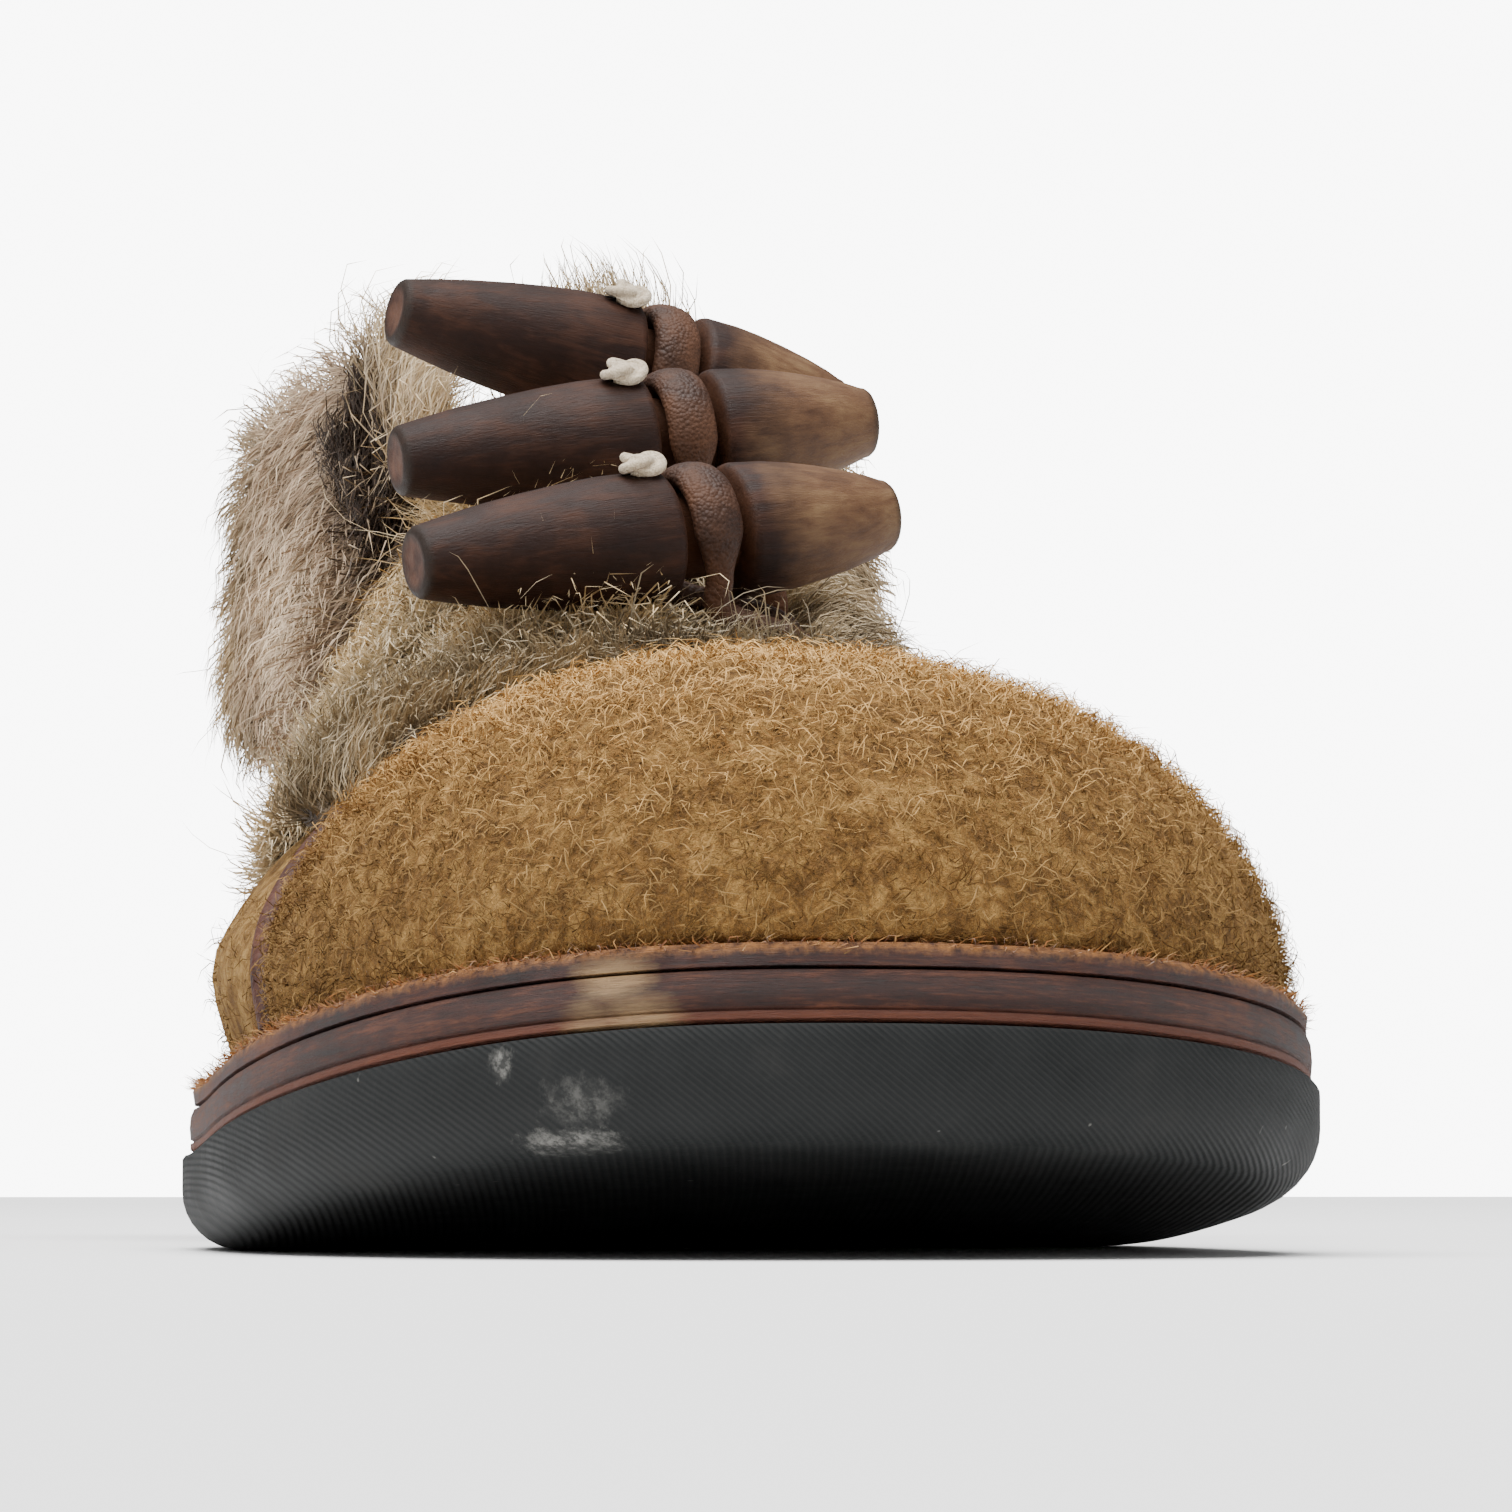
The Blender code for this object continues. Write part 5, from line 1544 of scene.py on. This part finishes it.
def toggle(number):
    """Turned double cone with a waist for its loop and a hole for its tie."""
    waist = WAIST_LENGTH / 2
    profile = []
    for way, length in ((-1, TOGGLE_INNER_LENGTH), (1, TOGGLE_OUTER_LENGTH)):
        side = [(0.0, WAIST_RADIUS), (waist * 0.7, WAIST_RADIUS), (waist, WAIST_RADIUS + 0.0002)]
        for degrees in (0, 30, 60, 90):
            turn = math.radians(degrees)
            place = waist + TOGGLE_BEVEL * (0.5 + (1 - math.cos(turn)))
            side.append((place, TOGGLE_RADIUS - TOGGLE_BEVEL * (1 - math.sin(turn))))
        for share, fall in ((0.26, 0.05), (0.40, 0.16), (0.56, 0.34), (0.72, 0.56), (0.86, 0.80)):
            side.append((mix(waist, length, share), mix(TOGGLE_RADIUS, TOGGLE_END_RADIUS, fall)))
        for degrees in (0, 25, 50, 75, 90):
            turn = math.radians(degrees)
            place = length - TOGGLE_BEVEL * (1 - math.sin(turn))
            side.append((place, TOGGLE_END_RADIUS - TOGGLE_BEVEL * (1 - math.cos(turn))))
        hollow = length - 0.0002
        side += [(hollow, (TOGGLE_END_RADIUS - TOGGLE_BEVEL) * 0.6), (hollow, 0.0)]
        rows = [(way * x, r) for x, r in side]
        profile += rows[::-1] if way < 0 else rows[1:]
    name = f"wooden_toggle_{number + 1}"
    blank = show("blank", close(spun(profile, 56), name, 40.0))
    reach, hole = 2 * TOGGLE_RADIUS, TIE_RADIUS + GAP
    bore = spun(((-reach, 0.0), (-reach, hole), (reach, hole), (reach, 0.0)), 24)
    local = toggle_frame(number).inverted() @ tie_frame(number)
    bmesh.ops.transform(bore, matrix=local, verts=bore.verts)
    drill = show("drill", close(bore, "drill", 40.0))
    cut = blank.modifiers.new("tie_hole", "BOOLEAN")
    cut.operation, cut.solver, cut.object = "DIFFERENCE", "EXACT", drill
    drilled = blank.evaluated_get(bpy.context.evaluated_depsgraph_get())
    data = bpy.data.meshes.new_from_object(drilled)
    for each in (drill, blank):
        bpy.data.objects.remove(each, do_unlink=True)
    spots = mesh_points(data)
    layer = data.attributes.new("turned", "FLOAT_VECTOR", "POINT")
    apart = spots + (0.0, 0.05 * number, 0.0)
    layer.data.foreach_set("vector", apart.ravel().astype(np.float32))
    point_values(data, "waist", ease((waist + 0.0012 - np.abs(spots[:, 0])) / 0.0010))
    reach = np.hypot(spots[:, 1], spots[:, 2]) / TOGGLE_END_RADIUS
    tip = np.maximum(-TOGGLE_INNER_LENGTH - spots[:, 0], spots[:, 0] - TOGGLE_OUTER_LENGTH)
    point_values(data, "face", ease((tip + 0.0012) / 0.0008) * (1.25 - np.clip(reach, 0.0, 1.25)))
    data.transform(toggle_frame(number))
    data.materials.clear()
    keep(name, data, [WOOD], "toggle_wood", f"toggle_{number + 1}")


def tie(number):
    """Pale cord through the toggle, with a wound knot on top and a bead below."""
    roll = math.radians(max(0.0, TOGGLES[number][4]))
    height = toggle_lift(number) + TIE_PLACE * math.sin(roll)
    low = (STRAP_TOP + GAP - height) / math.cos(roll)
    foot = low + KNOT_HEIGHT / 2
    top = TOGGLE_RADIUS + GAP
    profile = [
        (low, 0.0),
        (low, KNOT_RADIUS * 0.8),
        (foot - GAP, KNOT_RADIUS * 0.9),
        (foot, TIE_RADIUS),
        (top, TIE_RADIUS),
        (top + KNOT_HEIGHT * 0.12, KNOT_RADIUS * 0.8),
        (top + KNOT_HEIGHT * 0.85, KNOT_RADIUS * 0.5),
        (top + KNOT_HEIGHT * 0.9, 0.0),
    ]
    mesh = spun(profile, 20)
    strand = KNOT_HEIGHT * 0.34
    middle, ring = top + KNOT_HEIGHT * 0.38, (KNOT_RADIUS - strand) / 3
    turns, steps = [], 72
    for i in range(steps + 1):
        turn = i / steps * 2 * math.pi
        lobe = 3 * turn + 0.3 * number
        reach = ring * (2 + math.cos(lobe)) * (1 + 0.08 * math.sin(5 * turn + number))
        lift = middle + KNOT_HEIGHT * 0.34 * math.sin(lobe)
        turns.append(Vector((lift, reach * math.cos(2 * turn), reach * math.sin(2 * turn))))
    sweep(mesh, turns, lambda share: strand, strand, Vector((1, 0, 0)), 10)
    bmesh.ops.transform(mesh, matrix=tie_frame(number), verts=mesh.verts)
    name = f"cord_tie_{number + 1}"
    keep(name, close(mesh, name, 60.0), [CORD], "cream_cord", f"tie_{number + 1}")


def leather_loop(number):
    """Thong out of the fur, over the toggle's waist and back."""
    made = toggle_frame(number)
    station, girth = TOGGLES[number][:2]
    reach = WAIST_RADIUS + GAP + LOOP_RADIUS
    on_wall = UPPER_WALL + GAP + LOOP_RADIUS
    on_strap = STRAP_TOP + GAP + LOOP_RADIUS
    legs = {}
    for side in (-1, 1):
        across = station + side * reach / SHOE_LENGTH
        points = [spot(across, LOOP_END, mix(on_wall, on_strap, t)) for t in (0.0, 0.5)]
        points.append(spot(across, mix(girth, LOOP_END, 0.75), on_strap))
        points.append(made @ Vector((LOOP_RADIUS / 4, side * reach, -TOGGLE_RADIUS)))
        points.append(made @ Vector((0.0, side * reach, -reach * 0.55)))
        legs[side] = points
    over = []
    for degrees in (-82, -55, -28, 0, 28, 55, 82):
        turn = math.radians(degrees)
        over.append(made @ Vector((0.0, reach * math.sin(turn), reach * math.cos(turn))))

    def half_width(share):
        return mix(LOOP_RADIUS, LOOP_WIDTH / 2, float(ease((0.25 - abs(share - 0.5)) / 0.08)))

    mesh = bmesh.new()
    route = smooth_path(legs[-1] + over + legs[1][::-1], 110)
    sweep(mesh, route, half_width, LOOP_RADIUS, made.col[0].to_3d(), 16)
    name = f"leather_loop_{number + 1}"
    keep(name, close(mesh, name, 60.0), [THONG], "loop_leather", f"loop_{number + 1}")


def welt_fray():
    """Loose fibres along the welt's raw edge."""
    stations = np.linspace(0.0, 1.0, 400)
    places = [(1, s) for s in stations] + [(-1, s) for s in np.linspace(1.0, 0.0, 400)]
    foot = UPPER_WALL + 0.0006
    outer = np.array([outline(s, side, WELT_INSET + 0.0002) for side, s in places])
    inner = np.array([outline(s, side, feather_inset(s) - foot) for side, s in places])

    def place(across, along, depth):
        at = along * (len(places) - 1)
        steps = np.arange(len(places))
        x = [np.interp(at, steps, edge[:, 0]) for edge in (outer, inner)]
        y = [np.interp(at, steps, edge[:, 1]) for edge in (outer, inner)]
        px, py = mix(x[0], x[1], across), mix(y[0], y[1], across)
        pz = underside(px, py) + SEAT_RISE + WELT_THICKNESS
        return np.stack((px, py, pz), axis=-1)

    count = 9000
    bed = sow(lambda across, along, depth: place(across**1.6, along, depth), count, 71, 4, 300)
    bed["normal"] = np.broadcast_to(np.array((0.0, 0.0, 1.0)), bed["root"].shape).copy()
    away = bed["root"] * (1.0, 0.4, 0.0)
    flow = away / np.linalg.norm(away, axis=1, keepdims=True)
    flow = flow + bed["along"] * bed["draw"].normal(0, 1.3, count)[:, None]
    grow(bed, 0.0017, flow, 0.45, 0.35, 0.00014, steps=3, sink=0.0003)
    luck = bed["draw"].random(count)
    base = tinted((AMBER, 1.0), (RUST, 1.2 * (luck < 0.4)), (SAND, 0.7 * (luck > 0.85)))
    tint_hairs(bed, base, 0.5, GOLD, 0.4)
    weave("welt_fray", bed, FRAY, "welt_suede")


def aim(made, way):
    """Turns a lamp or the camera to look along a direction."""
    made.rotation_euler = Vector(way).to_track_quat("-Z", "Y").to_euler()


def studio_floor():
    """Wide pale floor that the shoe stands on."""
    mesh = bmesh.new()
    bmesh.ops.create_grid(mesh, x_segments=1, y_segments=1, size=4.0)
    data = bpy.data.meshes.new("floor")
    mesh.to_mesh(data)
    mesh.free()
    data.materials.append(floor_finish())
    floor = show("floor", data)


def studio_walls():
    """Dim light from all round, behind it a white backdrop that only the camera sees."""
    world = bpy.data.worlds.new("studio")
    world.use_nodes = True
    tree = world.node_tree
    around = tree.nodes["Background"]
    around.inputs["Color"].default_value = (1.0, 1.0, 1.0, 1.0)
    around.inputs["Strength"].default_value = 0.36
    backdrop = tree.nodes.new("ShaderNodeBackground")
    backdrop.inputs["Strength"].default_value = 11.0
    either = tree.nodes.new("ShaderNodeMixShader")
    seen = tree.nodes.new("ShaderNodeLightPath").outputs["Is Camera Ray"]
    for place, socket in enumerate((seen, around.outputs[0], backdrop.outputs[0])):
        tree.links.new(socket, either.inputs[place])
    tree.links.new(either.outputs[0], tree.nodes["World Output"].inputs["Surface"])
    bpy.context.scene.world = world


def lamps():
    """Soft boxes over the shoe, before it and at its side, and a wide soft sky."""
    for name, place, target, size, power in (
        ("top", (-0.15, -0.05, 1.40), (0.0, -0.02, 0.05), 1.1, 10.0),
        ("key", (-0.60, -0.80, 0.90), (0.0, -0.05, 0.04), 0.9, 4.0),
        ("fill", (1.00, -0.90, 0.60), (0.0, -0.05, 0.04), 1.0, 1.6),
    ):
        lamp = bpy.data.lights.new(name, "AREA")
        lamp.size, lamp.energy = size, power
        made = show(name, lamp)
        made.location = place
        aim(made, Vector(target) - Vector(place))
    sky = bpy.data.lights.new("sky", "SUN")
    sky.angle, sky.energy = math.radians(60.0), 7.0
    aim(show("sky", sky), (0.15, 0.16, -1.0))


def camera():
    """Long lens almost on the floor, before the toe and a little to its inner side."""
    lens = bpy.data.cameras.new("camera")
    lens.lens, lens.sensor_width, lens.clip_start = 150.0, 36.0, 0.01
    made = show("camera", lens)
    made.location = (-0.094, -0.666, 0.006)
    yaw, pitch = math.radians(9.05), math.radians(3.93)
    level = math.cos(pitch)
    aim(made, (math.sin(yaw) * level, math.cos(yaw) * level, math.sin(pitch)))
    bpy.context.scene.camera = made


studio_floor()
studio_walls()
lamps()
camera()
outsole()
midsole()
welt()
heels()
insole()
upper()
toe_cap()
quarter_felt()
vamp_fur()
lateral_fur()
collar_fur()
collar_tuft()
tongue()
pipings()
welt_fray()
for index in range(len(TOGGLES)):
    strap_fur(index)
    toggle(index)
    tie(index)
    leather_loop(index)
